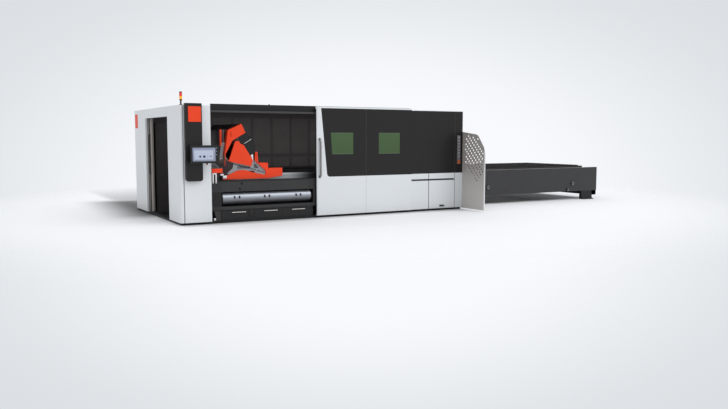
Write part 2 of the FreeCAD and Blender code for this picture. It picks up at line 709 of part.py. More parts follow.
def front_wall():
    """The fixed wall behind the open door."""
    return block((front_wall_left, right_body_left), (HEADER_FRONT, HEADER_FRONT + FRONT_WALL_THICKNESS),
                 (BED_TOP, header_bottom))


def right_upper_panel():
    """The dark panel of the right front body, with two seams."""
    panel = block((right_body_left, CABIN_LENGTH), (RIGHT_BODY_SET_BACK, right_panel_rear),
                  (RIGHT_SPLIT, cover_top))
    seams = []
    for offset, width in RIGHT_SEAMS:
        middle = right_body_left + offset
        seams.append(block((middle - width / 2, middle + width / 2),
                           (RIGHT_BODY_SET_BACK, RIGHT_BODY_SET_BACK + SEAM_DEPTH),
                           (RIGHT_SPLIT, cover_top)))
    return panel.cut(Part.makeCompound(seams))


def right_lower_panel():
    """The white panel below it, with a long groove and the opening of the service flap."""
    panel = block((right_body_left, CABIN_LENGTH), (RIGHT_BODY_SET_BACK, right_panel_rear),
                  (SKIRT_GAP, RIGHT_SPLIT))
    groove = block((right_body_left + SEAM_WIDTH, groove_end),
                   (RIGHT_BODY_SET_BACK, RIGHT_BODY_SET_BACK + GROOVE_DEPTH),
                   (GROOVE_BOTTOM, GROOVE_BOTTOM + GROOVE_HEIGHT))
    opening = block((flap_left, flap_right), (RIGHT_BODY_SET_BACK, right_panel_rear),
                    (FLAP_BOTTOM, GROOVE_BOTTOM))
    bore = rod((flap_left - FLAP_PIN_REACH, flap_axis_y, flap_axis_z), (1, 0, 0),
               flap_right - flap_left + 2 * FLAP_PIN_REACH, FLAP_PIN_RADIUS + PIN_CLEARANCE)
    return panel.cut(groove).cut(opening).cut(bore)


def service_flap():
    """The lift-up flap on its two hinge pins, with a grip near its lower edge."""
    front = RIGHT_BODY_SET_BACK
    low = FLAP_BOTTOM + FLAP_CLEARANCE
    bend = FLAP_THICKNESS / 2 - 0.1
    corners = [(front, low, 3), (front + FLAP_THICKNESS, low, 3),
               (front + FLAP_THICKNESS, flap_axis_z + FLAP_THICKNESS / 2, bend),
               (front, flap_axis_z + FLAP_THICKNESS / 2, bend)]
    sheet = prism(corners, "yz", flap_left + FLAP_CLEARANCE, flap_right - FLAP_CLEARANCE)
    middle = (flap_left + flap_right) / 2
    grip_low = low + GRIP_RISE
    face = rounded((middle - GRIP_LENGTH / 2, middle + GRIP_LENGTH / 2),
                   (grip_low, grip_low + GRIP_HEIGHT), GRIP_HEIGHT / 3)
    grip = prism(face, "xz", front - GRIP_REACH, front)
    pin = rod((flap_left - FLAP_PIN_REACH + 1, flap_axis_y, flap_axis_z), (1, 0, 0),
              flap_right - flap_left + 2 * FLAP_PIN_REACH - 2, FLAP_PIN_RADIUS)
    return fused([sheet, grip, pin])


def right_end_wall():
    """The end wall towards the shuttle table, with the slot for the pallets and the gate guides."""
    wall = block((end_wall_left, CABIN_LENGTH), (right_panel_rear, CABIN_DEPTH), (SKIRT_GAP, cover_top))
    slot = block((end_wall_left, CABIN_LENGTH), (bed_inner, bed_inner_rear), (SLOT_BOTTOM, SLOT_TOP))
    gate_right = end_wall_left - GATE_STANDOFF
    channel = [(gate_right - GATE_THICKNESS - RUNNING_GAP - GATE_GUIDE_LIP, bed_inner - 60),
               (end_wall_left, bed_inner - 60), (end_wall_left, bed_inner - 4),
               (gate_right + RUNNING_GAP, bed_inner - 4), (gate_right + RUNNING_GAP, bed_inner - 48),
               (gate_right - GATE_THICKNESS - RUNNING_GAP, bed_inner - 48),
               (gate_right - GATE_THICKNESS - RUNNING_GAP, bed_inner - 4),
               (gate_right - GATE_THICKNESS - RUNNING_GAP - GATE_GUIDE_LIP, bed_inner - 4)]
    guide = prism(channel, "xy", GATE_SHOULDER - GATE_SIDE_CLEARANCE,
                  GATE_BOTTOM + GATE_HEIGHT + GATE_TRAVEL + GATE_SIDE_CLEARANCE)
    return fused([wall.cut(slot), guide, across_bed(guide)])


def shuttle_gate():
    """The gate that closes the slot, narrow below so that it passes between the pallet rails."""
    right = end_wall_left - GATE_STANDOFF
    side = bed_inner - 48 + RUNNING_GAP
    far_side = 2 * bed_centre_y - side
    inner = bed_inner + PALLET_RAIL_FLANGE + GATE_SIDE_CLEARANCE
    far_inner = 2 * bed_centre_y - inner
    top = GATE_BOTTOM + GATE_HEIGHT
    corners = [(side, GATE_SHOULDER), (inner, GATE_SHOULDER), (inner, GATE_BOTTOM), (far_inner, GATE_BOTTOM),
               (far_inner, GATE_SHOULDER), (far_side, GATE_SHOULDER), (far_side, top), (side, top)]
    gate = prism(corners, "yz", right - GATE_THICKNESS, right)
    return gate.translated(Vector(0, 0, GATE_TRAVEL))


# ---- front sliding door
def gloss_corners(left, right, top, set_in=0):
    """The dark panel's outline, with its slanted left edge and one round corner."""
    return [(left + GLOSS_SLANT_TOP - set_in, top + set_in),
            (left + GLOSS_SLANT_BOTTOM - set_in, GLOSS_PANEL_BOTTOM - set_in, GLOSS_CORNER_RADIUS),
            (right + set_in, GLOSS_PANEL_BOTTOM - set_in), (right + set_in, top + set_in)]


def window_corners(margin):
    """The outlines of the two windows, each grown or shrunk by a margin."""
    left = door_left + LEFT_WINDOW_OFFSET
    low, high = WINDOW_BOTTOM - margin, WINDOW_TOP + margin
    slanted = [(left - margin, low, WINDOW_CORNER), (left + LEFT_WINDOW_LENGTH + margin, low, WINDOW_CORNER),
               (left + LEFT_WINDOW_LENGTH + margin, high, WINDOW_CORNER),
               (left - LEFT_WINDOW_SLANT - margin, high, WINDOW_CORNER)]
    right = door_left + RIGHT_WINDOW_OFFSET
    straight = rounded((right - margin, right + RIGHT_WINDOW_LENGTH + margin), (low, high), WINDOW_CORNER)
    return [slanted, straight]


def window_cutters(margin, low, high):
    """Solids that cut both windows through part of the door's thickness."""
    return Part.makeCompound([prism(corners, "xz", low, high) for corners in window_corners(margin)])


def front_door_frame():
    """The white door body: a folded tray with stiles, a recess for the panel, and hanging shoes."""
    plan = [(door_left, 0, DOOR_EDGE_RADIUS), (door_right, 0), (door_right, DOOR_THICKNESS),
            (door_left, DOOR_THICKNESS)]
    body = prism(plan, "xy", SKIRT_GAP, door_top)
    seam = door_left + DOOR_SEAM_OFFSET
    bays = [(door_left + DOOR_EDGE_RADIUS, seam - DOOR_STILE / 2),
            (seam + DOOR_STILE / 2, door_right - DOOR_SKIN)]
    for left, right in bays:
        body = body.cut(block((left, right), (DOOR_SKIN, DOOR_THICKNESS),
                              (SKIRT_GAP + DOOR_SKIN, door_top - DOOR_SKIN)))
    recess = prism(gloss_corners(door_left, door_right, CABIN_HEIGHT), "xz", 0, GLOSS_PANEL_THICKNESS)
    body = body.cut(recess).cut(window_cutters(-WINDOW_LIP, 0, DOOR_THICKNESS))
    return fused([body] + door_shoes())


def door_shoes():
    """The two hooks on the door's back that run in the header's channel."""
    tongue_front = rail_front + RAIL_LIP + SHOE_SIDE_CLEARANCE
    tongue_back = HEADER_FRONT - RAIL_LIP - SHOE_SIDE_CLEARANCE
    low = header_bottom + RAIL_FLOOR + RUNNING_GAP
    arm_low = rail_top + SHOE_ARM / 2
    corners = [(DOOR_SKIN, arm_low), (tongue_front, arm_low), (tongue_front, low), (tongue_back, low),
               (tongue_back, arm_low + SHOE_ARM, 8), (DOOR_SKIN, arm_low + SHOE_ARM)]
    lefts = (door_left + SHOE_INSET, door_right - SHOE_INSET - SHOE_LENGTH)
    return [prism(corners, "yz", left, left + SHOE_LENGTH) for left in lefts]


def front_door_panel():
    """The dark glossy panel, flush in the door's recess, with one seam and two window openings."""
    panel = prism(gloss_corners(door_left, door_right, CABIN_HEIGHT), "xz", 0, GLOSS_PANEL_THICKNESS)
    seam = door_left + DOOR_SEAM_OFFSET
    groove = block((seam - SEAM_WIDTH / 2, seam + SEAM_WIDTH / 2), (0, GLOSS_PANEL_THICKNESS / 2),
                   (GLOSS_PANEL_BOTTOM, CABIN_HEIGHT))
    return panel.cut(groove).cut(window_cutters(0, 0, GLOSS_PANEL_THICKNESS))


def front_door_windows():
    """The two panes, each on the lip of its opening."""
    panes = [prism(corners, "xz", 1.5, GLOSS_PANEL_THICKNESS)
             for corners in window_corners(-WINDOW_CLEARANCE)]
    return Part.makeCompound(panes)


def bow_handle(plane, base, low, high, reach, bar, start, width):
    """A bar that stands off a face on two bent ends; reach is signed away from the face."""
    side = 1 if reach > 0 else -1
    bend = abs(reach)
    corners = [(base, low), (base + reach, low + bend, bend * 0.6), (base + reach, high - bend, bend * 0.6),
               (base, high), (base, high - bar * 1.3),
               (base + reach - side * bar, high - bend - bar * 0.4, bend * 0.4),
               (base + reach - side * bar, low + bend + bar * 0.4, bend * 0.4), (base, low + bar * 1.3)]
    return prism(corners, plane, start, start + width)


def front_door_handle():
    """The long upright handle of the front door."""
    start = door_left + DOOR_HANDLE_OFFSET - DOOR_HANDLE_WIDTH / 2
    return bow_handle("yz", 0, DOOR_HANDLE_BOTTOM, DOOR_HANDLE_TOP, -DOOR_HANDLE_REACH, DOOR_HANDLE_BAR,
                      start, DOOR_HANDLE_WIDTH)


# ---- right front controls
def button_strip():
    """The slim control strip, with a column of lamps and a well for the stop plate."""
    front = RIGHT_BODY_SET_BACK - STRIP_THICKNESS
    span = (strip_left, strip_left + STRIP_WIDTH)
    strip = prism(rounded(span, (STRIP_BOTTOM, STRIP_TOP), 14), "xz", front, RIGHT_BODY_SET_BACK)
    well = prism(rounded((span[0] + STOP_RIM, span[1] - STOP_RIM),
                         (STRIP_BOTTOM + STOP_RIM, STRIP_BOTTOM + STOP_WELL_HEIGHT), 8),
                 "xz", front, RIGHT_BODY_SET_BACK - STOP_RIM / 4)
    middle = strip_left + STRIP_WIDTH / 2
    lamps = []
    for i in range(STRIP_LAMP_COUNT):
        z = STRIP_TOP - STRIP_WIDTH / 2 - i * STRIP_LAMP_PITCH
        lamps.append(rod((middle, front, z), (0, -1, 0), STRIP_LAMP_HEIGHT, STRIP_LAMP_RADIUS))
    return fused([strip.cut(well)] + lamps)


def strip_stop_plate():
    """The square stop plate that is pushed in at the strip's lower end."""
    rear = RIGHT_BODY_SET_BACK - STOP_RIM / 4 - STOP_TRAVEL - RUNNING_GAP
    inset = STOP_RIM + STOP_CLEARANCE
    face = rounded((strip_left + inset, strip_left + STRIP_WIDTH - inset),
                   (STRIP_BOTTOM + inset, STRIP_BOTTOM + STOP_WELL_HEIGHT - STOP_CLEARANCE), 8)
    return prism(face, "xz", rear - STOP_PLATE_THICKNESS, rear)


# ---- perforated fence
def fence_edge():
    """The fence's outline in Y and Z, with its long bent shoulder."""
    rear = right_panel_rear + FENCE_OVERLAP
    return [(rear, FENCE_BOTTOM), (rear, FENCE_TOP_REAR),
            (FENCE_TOP_KNEE[0], FENCE_TOP_KNEE[1], FENCE_KNEE_RADIUS),
            (-FENCE_REACH, FENCE_TOP_FRONT, FENCE_FRONT_RADIUS), (-FENCE_REACH, FENCE_BOTTOM)]


def fence_hole_centres():
    """Staggered hole centres: two diagonal rows up from the lowest hole, kept inside the margin."""
    room = outline(fence_edge(), "yz", CABIN_LENGTH).makeOffset2D(-FENCE_MARGIN)
    rear_limit = -FENCE_MARGIN * 1.6
    centres = []
    for up in range(24):
        for out in range(16):
            y = FENCE_TIP_HOLE[0] + up * FENCE_STEP_UP - out * FENCE_STEP_OUT
            z = FENCE_TIP_HOLE[1] + up * FENCE_STEP_UP + out * FENCE_STEP_OUT
            inside = room.isInside(Vector(CABIN_LENGTH, y, z), 0.01, True)
            if inside and y < rear_limit:
                centres.append((y, z))
    return centres


def polygon(centre, radius, sides):
    """The corners of a regular polygon that stands on a flat side."""
    turn = radians(180 / sides)
    step = radians(360 / sides)
    return [(centre[0] + radius * cos(turn + i * step), centre[1] + radius * sin(turn + i * step))
            for i in range(sides)]


def light_fence():
    """The perforated guard plate at the right front corner, with a flange on its front edge."""
    plate = prism(fence_edge(), "yz", CABIN_LENGTH, CABIN_LENGTH + FENCE_THICKNESS)
    holes = [prism(polygon(centre, FENCE_HOLE_RADIUS, FENCE_HOLE_SIDES), "yz", CABIN_LENGTH,
                   CABIN_LENGTH + FENCE_THICKNESS) for centre in fence_hole_centres()]
    flange = block((CABIN_LENGTH, CABIN_LENGTH + FENCE_FLANGE),
                   (-FENCE_REACH, -FENCE_REACH + FENCE_THICKNESS),
                   (FENCE_BOTTOM, FENCE_TOP_FRONT - FENCE_FRONT_RADIUS / 3))
    return fused([plate.cut(Part.makeCompound(holes)), flange])


# ---- machine bed
def bed_front_beam():
    """The hollow front beam, with the long recess for the duct and two small holes."""
    rear = bed_inner
    beam = block((BED_LEFT, bed_right), (BED_FRONT, rear), (BED_BOTTOM, BED_TOP))
    hollow = block((BED_LEFT + BED_WALL, bed_right), (BED_FRONT + BED_WALL, rear - BED_WALL),
                   (BED_BOTTOM + BED_WALL, BED_TOP - BED_WALL))
    recess_rear = BED_FRONT + RECESS_DEPTH
    liner = block((RECESS_LEFT - BED_WALL, RECESS_RIGHT + BED_WALL), (BED_FRONT, recess_rear + BED_WALL),
                  (RECESS_BOTTOM - BED_WALL, RECESS_TOP + BED_WALL))
    recess = block((RECESS_LEFT, RECESS_RIGHT), (BED_FRONT, recess_rear), (RECESS_BOTTOM, RECESS_TOP))
    holes = [rod((x, BED_FRONT, z), (0, 1, 0), BED_WALL, BED_HOLE_RADIUS) for x, z in BED_HOLES]
    return fused([beam.cut(hollow), liner]).cut(recess).cut(Part.makeCompound(holes))


def bed_rear_beam():
    """The hollow rear beam, open at its right end."""
    front = bed_inner_rear
    rear = front + BED_BEAM_DEPTH
    beam = block((BED_LEFT, bed_right), (front, rear), (BED_BOTTOM, BED_TOP))
    hollow = block((BED_LEFT + BED_WALL, bed_right), (front + BED_WALL, rear - BED_WALL),
                   (BED_BOTTOM + BED_WALL, BED_TOP - BED_WALL))
    return beam.cut(hollow)


def frame_stations():
    """Where the cross bars stand: beside and between the drawers, then evenly to the bed's end."""
    stations = [DRAWER_LEFTS[0] - FRAME_LEAD]
    for left, following in zip(DRAWER_LEFTS, DRAWER_LEFTS[1:]):
        stations.append((left + DRAWER_WIDTH + following) / 2)
    start = RECESS_RIGHT + FRAME_PLAIN_START
    step = (bed_right - FRAME_PLAIN_END - start) / (FRAME_PLAIN_COUNT - 1)
    return stations + [start + i * step for i in range(FRAME_PLAIN_COUNT)]


def bed_cross_bars():
    """The bars across the machine that both beams stand on, the first with a corner foot."""
    rear = 2 * bed_centre_y - FRAME_FRONT
    bars = [block((x - FRAME_WIDTH / 2, x + FRAME_WIDTH / 2), (FRAME_FRONT, rear), (bar_bottom, BED_BOTTOM))
            for x in frame_stations()]
    corners = [(CORNER_FOOT_HEAD, BED_BOTTOM), CORNER_FOOT_HEEL, (CORNER_FOOT_HEEL[0], SKIRT_GAP),
               (apron_left, SKIRT_GAP), (apron_left, BED_BOTTOM)]
    foot = prism(corners, "xz", *CORNER_FOOT_DEPTH)
    return Part.makeCompound([fused([bars[0], foot])] + bars[1:])


def bed_feet():
    """A tapered foot under each end of each bar."""
    spread = FRAME_FOOT_FLARE
    corners = [(FRAME_FOOT_START - spread, 0), (FRAME_FOOT_START + FRAME_FOOT_LENGTH + spread, 0),
               (FRAME_FOOT_START + FRAME_FOOT_LENGTH, bar_bottom), (FRAME_FOOT_START, bar_bottom)]
    feet = [prism(corners, "yz", x - FRAME_WIDTH / 2, x + FRAME_WIDTH / 2) for x in frame_stations()]
    return Part.makeCompound(feet + [across_bed(foot) for foot in feet])


def x_rails():
    """The two ways that the gantry travels on, each a stepped bar on a pedestal."""
    back = X_RAIL_FRONT + X_RAIL_WIDTH
    shelf = BED_TOP + X_RAIL_PEDESTAL
    corners = [(X_RAIL_FRONT + X_RAIL_STEP, BED_TOP), (back - X_RAIL_STEP, BED_TOP),
               (back - X_RAIL_STEP, shelf), (back, shelf), (back, X_RAIL_TOP, 3),
               (X_RAIL_FRONT, X_RAIL_TOP, 3), (X_RAIL_FRONT, shelf), (X_RAIL_FRONT + X_RAIL_STEP, shelf)]
    rail = prism(corners, "yz", x_rail_left, x_rail_right)
    return Part.makeCompound([rail, across_bed(rail)])


def exhaust_duct():
    """The round steel duct in the recess, with three pairs of slots and a collar at each end."""
    centre_z = DUCT_HEIGHT
    body = rod((duct_left, duct_y, centre_z), (1, 0, 0), duct_right - duct_left, DUCT_RADIUS)
    collar = rod((RECESS_LEFT, duct_y, centre_z), (1, 0, 0), RECESS_RIGHT - RECESS_LEFT, DUCT_COLLAR_RADIUS)
    bore = rod((duct_left + DUCT_WALL, duct_y, centre_z), (1, 0, 0), duct_right - duct_left - 2 * DUCT_WALL,
               DUCT_RADIUS - DUCT_WALL)
    through = rod((RECESS_LEFT, duct_y, centre_z), (1, 0, 0), RECESS_RIGHT - RECESS_LEFT,
                  DUCT_COLLAR_RADIUS - DUCT_WALL)
    shell = body.fuse(collar).cut(bore).cut(through)
    slots = []
    for first in DUCT_SLOTS:
        for x in (first, first + DUCT_SLOT_PITCH):
            slot = prism(rounded((x - DUCT_SLOT_WIDTH / 2, x + DUCT_SLOT_WIDTH / 2),
                                 (centre_z - DUCT_SLOT_HEIGHT / 2, centre_z + DUCT_SLOT_HEIGHT / 2), 6),
                         "xz", duct_y - DUCT_RADIUS - DUCT_WALL, duct_y - DUCT_RADIUS + 3 * DUCT_WALL)
            slot.rotate(Vector(x, duct_y, centre_z), Vector(1, 0, 0), -DUCT_SLOT_RISE)
            slots.append(slot)
    return shell.cut(Part.makeCompound(slots))


# ---- drawers
def drawer_housing():
    """The front apron with its latch cover, and behind it a sleeve for each drawer."""
    apron_rear = APRON_FRONT + APRON_THICKNESS
    middle = (DRAWER_LEFTS[0] + DRAWER_WIDTH + DRAWER_LEFTS[1]) / 2
    apron = block((apron_left, RECESS_RIGHT), (APRON_FRONT, apron_rear), (SKIRT_GAP, BED_BOTTOM))
    latch_face = rounded((middle - LATCH_COVER_WIDTH / 2, middle + LATCH_COVER_WIDTH / 2),
                         (DRAWER_TOP - LATCH_COVER_HEIGHT, DRAWER_TOP), 10)
    latch_cover = prism(latch_face, "xz", APRON_FRONT - LATCH_COVER_THICKNESS, APRON_FRONT)
    mouths = []
    sleeves = []
    for left in DRAWER_LEFTS:
        right = left + DRAWER_WIDTH
        mouths.append(block((left, right), (APRON_FRONT, apron_rear), (DRAWER_BOTTOM, DRAWER_TOP)))
        sleeve = block((left - SLEEVE_WALL, right + SLEEVE_WALL), (apron_rear, DRAWER_REAR + SLEEVE_WALL),
                       (DRAWER_BOTTOM - SLEEVE_WALL, BED_BOTTOM))
        room = block((left, right), (apron_rear, DRAWER_REAR), (DRAWER_BOTTOM, DRAWER_TOP))
        sleeves.append(sleeve.cut(room))
    return Part.makeCompound([fused([apron, latch_cover]).cut(Part.makeCompound(mouths))] + sleeves)


def drawer(left):
    """One drawer: a face with a bar handle, and an open tray behind it."""
    low = DRAWER_BOTTOM + RUNNING_GAP
    span = (left + DRAWER_CLEARANCE, left + DRAWER_WIDTH - DRAWER_CLEARANCE)
    face_front = APRON_FRONT - DRAWER_PROUD
    face = prism(rounded(span, (low, DRAWER_TOP - DRAWER_CLEARANCE), EDGE_RADIUS), "xz", face_front,
                 face_front + DRAWER_FACE)
    rear = DRAWER_REAR - DRAWER_CLEARANCE
    tray = block(span, (face_front + DRAWER_FACE, rear), (low, low + DRAWER_TRAY_HEIGHT))
    wall = DRAWER_TRAY_WALL
    hollow = block((span[0] + wall, span[1] - wall), (face_front + DRAWER_FACE, rear - wall),
                   (low + wall, low + DRAWER_TRAY_HEIGHT))
    bar_left = left + DRAWER_HANDLE_OFFSET
    bar_right = bar_left + DRAWER_HANDLE_LENGTH
    bar_front = face_front - DRAWER_HANDLE_STANDOFF - DRAWER_HANDLE_BAR
    bar_low = DRAWER_HANDLE_HEIGHT - DRAWER_HANDLE_BAR / 2
    bar_high = bar_low + DRAWER_HANDLE_BAR
    bar = prism(rounded((bar_front, bar_front + DRAWER_HANDLE_BAR), (bar_low, bar_high), 4), "yz",
                bar_left, bar_right)
    posts = [block((x, x + DRAWER_HANDLE_BAR), (bar_front + DRAWER_HANDLE_BAR / 2, face_front),
                   (bar_low + 2, bar_high - 2))
             for x in (bar_left + DRAWER_HANDLE_BAR, bar_right - 2 * DRAWER_HANDLE_BAR)]
    return fused([face, tray.cut(hollow), bar] + posts)


# ---- gantry
def gantry_beam():
    """The hollow bridge beam across the bed."""
    return tube(beam_outline, "xz", beam_front, beam_back, GANTRY_WALL)


def gantry_castings():
    """The two grey end castings that stand on the ways and carry the beam."""
    foot = X_RAIL_TOP + RUNNING_GAP
    left, inner = CASTING_LEFT_FOOT
    arch = foot + CASTING_ARCH
    corners = [(left, foot), CASTING_BACK[0], CASTING_BACK[1], casting_cheek, BEAM_TOE, TRACK_BOTTOM,
               CASTING_CROWN + (CORNER_BLEND,), CASTING_SHOULDER + (CORNER_BLEND,),
               (CASTING_SHOULDER[0], foot),
               (CASTING_RIGHT_FOOT, foot), (CASTING_RIGHT_FOOT - CASTING_ARCH, arch, 20),
               (inner + CASTING_ARCH, arch, 20), (inner, foot)]
    casting = prism(corners, "xz", beam_front, casting_back)
    for pocket in (CASTING_WINDOW, CASTING_NOTCH):
        casting = casting.cut(prism(pocket, "xz", beam_front, beam_front + CASTING_POCKET))
    return Part.makeCompound([casting, across_bed(casting)])


def gantry_arm_cover():
    """The folded upper cover along the beam, closed at its near end."""
    cover = prism(arm_outline, "xz", GANTRY_FRONT, gantry_back)
    hollow = outline(arm_outline, "xz", GANTRY_FRONT + GANTRY_WALL).makeOffset2D(-GANTRY_WALL)
    cover = cover.cut(hollow.extrude(Vector(0, gantry_back - GANTRY_FRONT, 0)))
    slots = [block((COVER_SLOT_LEFT, COVER_SLOT_LEFT + COVER_SLOT_LENGTH),
                   (GANTRY_FRONT, GANTRY_FRONT + GANTRY_WALL), (floor, floor + COVER_SLOT_HEIGHT))
             for floor in COVER_SLOT_FLOORS]
    return cover.cut(Part.makeCompound(slots))


def gantry_end_shields():
    """The orange shields on both ends of the beam."""
    shield = prism(shield_outline, "xz", GANTRY_FRONT, beam_front)
    return Part.makeCompound([shield, across_bed(shield)])


def gantry_hood():
    """The black hood over the cutting carriage's track, with a cap at each end."""
    shell = prism(hood_outline, "xz", beam_front, beam_back)
    cap = prism(hood_cap_outline, "xz", GANTRY_FRONT, beam_front)
    return fused([shell, cap, across_bed(cap)])


def gantry_skirt():
    """The orange skirt, foot box and post in front of the near casting."""
    skirt = prism(SKIRT_OUTLINE, "xz", GANTRY_FRONT, beam_front)
    foot_box = prism(foot_box_outline, "xz", GANTRY_FRONT, casting_back)
    post = prism(post_outline, "xz", GANTRY_FRONT, beam_front + CASTING_LENGTH / 3)
    lap = block((FOOT_BOX_SPAN[1] - FOOT_BOX_LAP, FOOT_BOX_SPAN[1]), (GANTRY_FRONT, beam_front),
                FOOT_BOX_LAP_RISE)
    return fused([skirt, foot_box, post, lap])


def y_carriage():
    """The carriage on the track face, and the bracket that holds the upright slide plate."""
    run_end = Vector(*TRACK_TOP).distanceToPoint(Vector(*TRACK_BOTTOM)) - CARRIAGE_BOTTOM_INSET
    front = bed_centre_y - CARRIAGE_LENGTH / 2
    back = front + CARRIAGE_LENGTH
    slab = prism([face_point(CARRIAGE_TOP_INSET, RUNNING_GAP), face_point(run_end, RUNNING_GAP),
                  face_point(run_end, CARRIAGE_DEPTH) + (CARRIAGE_EDGE_RADII[0],),
                  face_point(CARRIAGE_TOP_INSET, CARRIAGE_DEPTH) + (CARRIAGE_EDGE_RADII[1],)],
                 "xz", front, back)
    plate_right = HEAD_X - HEAD_BODY / 2 - RUNNING_GAP
    plate_left = plate_right - HEAD_PLATE
    bracket = prism([face_point(run_end - BRACKET_WIDTH, CARRIAGE_DEPTH / 2),
                     face_point(run_end, CARRIAGE_DEPTH / 2),
                     (plate_right, HEAD_PLATE_BOTTOM + BRACKET_INSET, CORNER_BLEND),
                     (plate_right, BRACKET_TOP, CORNER_BLEND)],
                    "xz", front + BRACKET_INSET, back - BRACKET_INSET)
    plate = block((plate_left, plate_right), (bed_centre_y - HEAD_WIDTH / 2, bed_centre_y + HEAD_WIDTH / 2),
                  (HEAD_PLATE_BOTTOM, HEAD_PLATE_BOTTOM + HEAD_PLATE_HEIGHT))
    return fused([slab, bracket, plate])


def cutting_head():
    """The head: a slide body, a turned barrel and a pointed nozzle."""
    half = HEAD_BODY / 2
    face = rounded((HEAD_X - half, HEAD_X + half), (bed_centre_y - half, bed_centre_y + half), 12)
    body = prism(face, "xy", HEAD_PLATE_BOTTOM + 40, HEAD_TOP)
    profile = [(0, HEAD_TIP), (NOZZLE_RADIUS, HEAD_TIP), (NOZZLE_SHANK_RADIUS * 0.6, HEAD_TIP + 30),
               (NOZZLE_SHANK_RADIUS, HEAD_TIP + 44), (NOZZLE_SHANK_RADIUS, HEAD_TIP + 80),
               (half - 8, HEAD_TIP + 88), (half - 8, HEAD_PLATE_BOTTOM + 40), (0, HEAD_PLATE_BOTTOM + 40)]
    face = outline(profile, "xz", 0)
    barrel = face.revolve(Vector(0, 0, 0), Vector(0, 0, 1), 360)
    barrel.translate(Vector(HEAD_X, bed_centre_y, 0))
    return fused([body, barrel])


# ---- shuttle table
def table_side_front():
    """The near side plate, with a folded top edge, bearing covers and bolt heads."""
    corners = [(bed_inner - TABLE_PLATE, TABLE_BOTTOM), (bed_inner, TABLE_BOTTOM),
               (bed_inner, TABLE_TOP - TABLE_PLATE), (bed_inner + TABLE_FLANGE, TABLE_TOP - TABLE_PLATE),
               (bed_inner + TABLE_FLANGE, TABLE_TOP), (bed_inner - TABLE_PLATE, TABLE_TOP, 5)]
    plate = prism(corners, "yz", CABIN_LENGTH, table_right)
    face = bed_inner - TABLE_PLATE
    bosses = [rod((table_right - inset, face, z), (0, -1, 0), TABLE_BOSS_REACH, radius)
              for inset, z, radius in TABLE_BOSSES]
    count = int((table_right - CABIN_LENGTH) // TABLE_BOLT_PITCH)
    bolts = []
    for i in range(count):
        centre = (CABIN_LENGTH + (i + 0.5) * TABLE_BOLT_PITCH, TABLE_BOLT_HEIGHT)
        head = polygon(centre, TABLE_BOLT_RADIUS, 6)
        bolts.append(prism(head, "xz", face - TABLE_BOLT_RADIUS / 2, face))
    return fused([plate] + bosses + bolts)


def table_foot(left):
    """One foot block, with a floor flange and two anchor holes."""
    front = bed_inner - TABLE_PLATE - FOOT_REACH
    rear = bed_inner + FOOT_INNER
    right = left + FOOT_LENGTH
    corners = [(front, 0), (rear, 0), (rear, TABLE_BOTTOM), (bed_inner - TABLE_PLATE, TABLE_BOTTOM),
               (front + FOOT_HOLE_INSET * 2, FOOT_PLATE, 8), (front, FOOT_PLATE)]
    block_shape = prism(corners, "yz", left, right)
    middle = (left + right) / 2
    holes = [rod((x, front + FOOT_HOLE_INSET, 0), (0, 0, 1), FOOT_PLATE, FOOT_HOLE_RADIUS)
             for x in (middle - FOOT_HOLE_SPACING_X / 2, middle + FOOT_HOLE_SPACING_X / 2)]
    return block_shape.cut(Part.makeCompound(holes))


def table_feet():
    """The four feet of the shuttle table."""
    feet = [table_foot(left) for left in foot_lefts]
    return Part.makeCompound(feet + [across_bed(foot) for foot in feet])


def table_cross_members():
    """The hollow cross members between the side plates, and the deep box beam at the far end."""
    end_right = table_right - TABLE_PLATE
    end_face = rounded((end_right - END_BOX_LENGTH, end_right), (END_BOX_BOTTOM, END_BOX_TOP), 6)
    members = [tube(end_face, "xz", bed_inner, bed_inner_rear, END_BOX_WALL)]
    first = CABIN_LENGTH + CROSS_OFFSETS[0]
    step = (table_right - CROSS_OFFSETS[1] - first) / (CROSS_COUNT - 1)
    for i in range(CROSS_COUNT):
        left = first + i * step - CROSS_WIDTH / 2
        face = rounded((left, left + CROSS_WIDTH), (TABLE_BOTTOM, TABLE_BOTTOM + CROSS_HEIGHT), 6)
        members.append(tube(face, "xz", bed_inner, bed_inner_rear, TABLE_PLATE))
    return Part.makeCompound(members)


def pallet_rails():
    """Upper and lower angle rails on both sides, from inside the bed to the table's far end."""
    rails = []
    for top in (upper_rail_top, upper_rail_top - LEVEL_STEP):
        wall = PALLET_RAIL_WALL
        corners = [(bed_inner, top - PALLET_RAIL_WEB), (bed_inner + wall, top - PALLET_RAIL_WEB),
                   (bed_inner + wall, top - wall, 4), (bed_inner + PALLET_RAIL_FLANGE, top - wall),
                   (bed_inner + PALLET_RAIL_FLANGE, top), (bed_inner, top)]
        rail = prism(corners, "yz", pallet_rail_left, pallet_rail_right)
        rails += [rail, across_bed(rail)]
    return Part.makeCompound(rails)


def pallet_wheels():
    """Wheels and axles of one pallet's near side."""
    shapes = []
    for i in range(WHEEL_COUNT):
        x = pallet_rest + pallet_length * (i + 0.5) / WHEEL_COUNT
        shapes.append(rod((x, pallet_front, wheel_z), (0, -1, 0), WHEEL_TREAD, AXLE_RADIUS))
        shapes.append(rod((x, pallet_front - WHEEL_TREAD, wheel_z), (0, -1, 0), WHEEL_WIDTH, WHEEL_RADIUS))
    return shapes


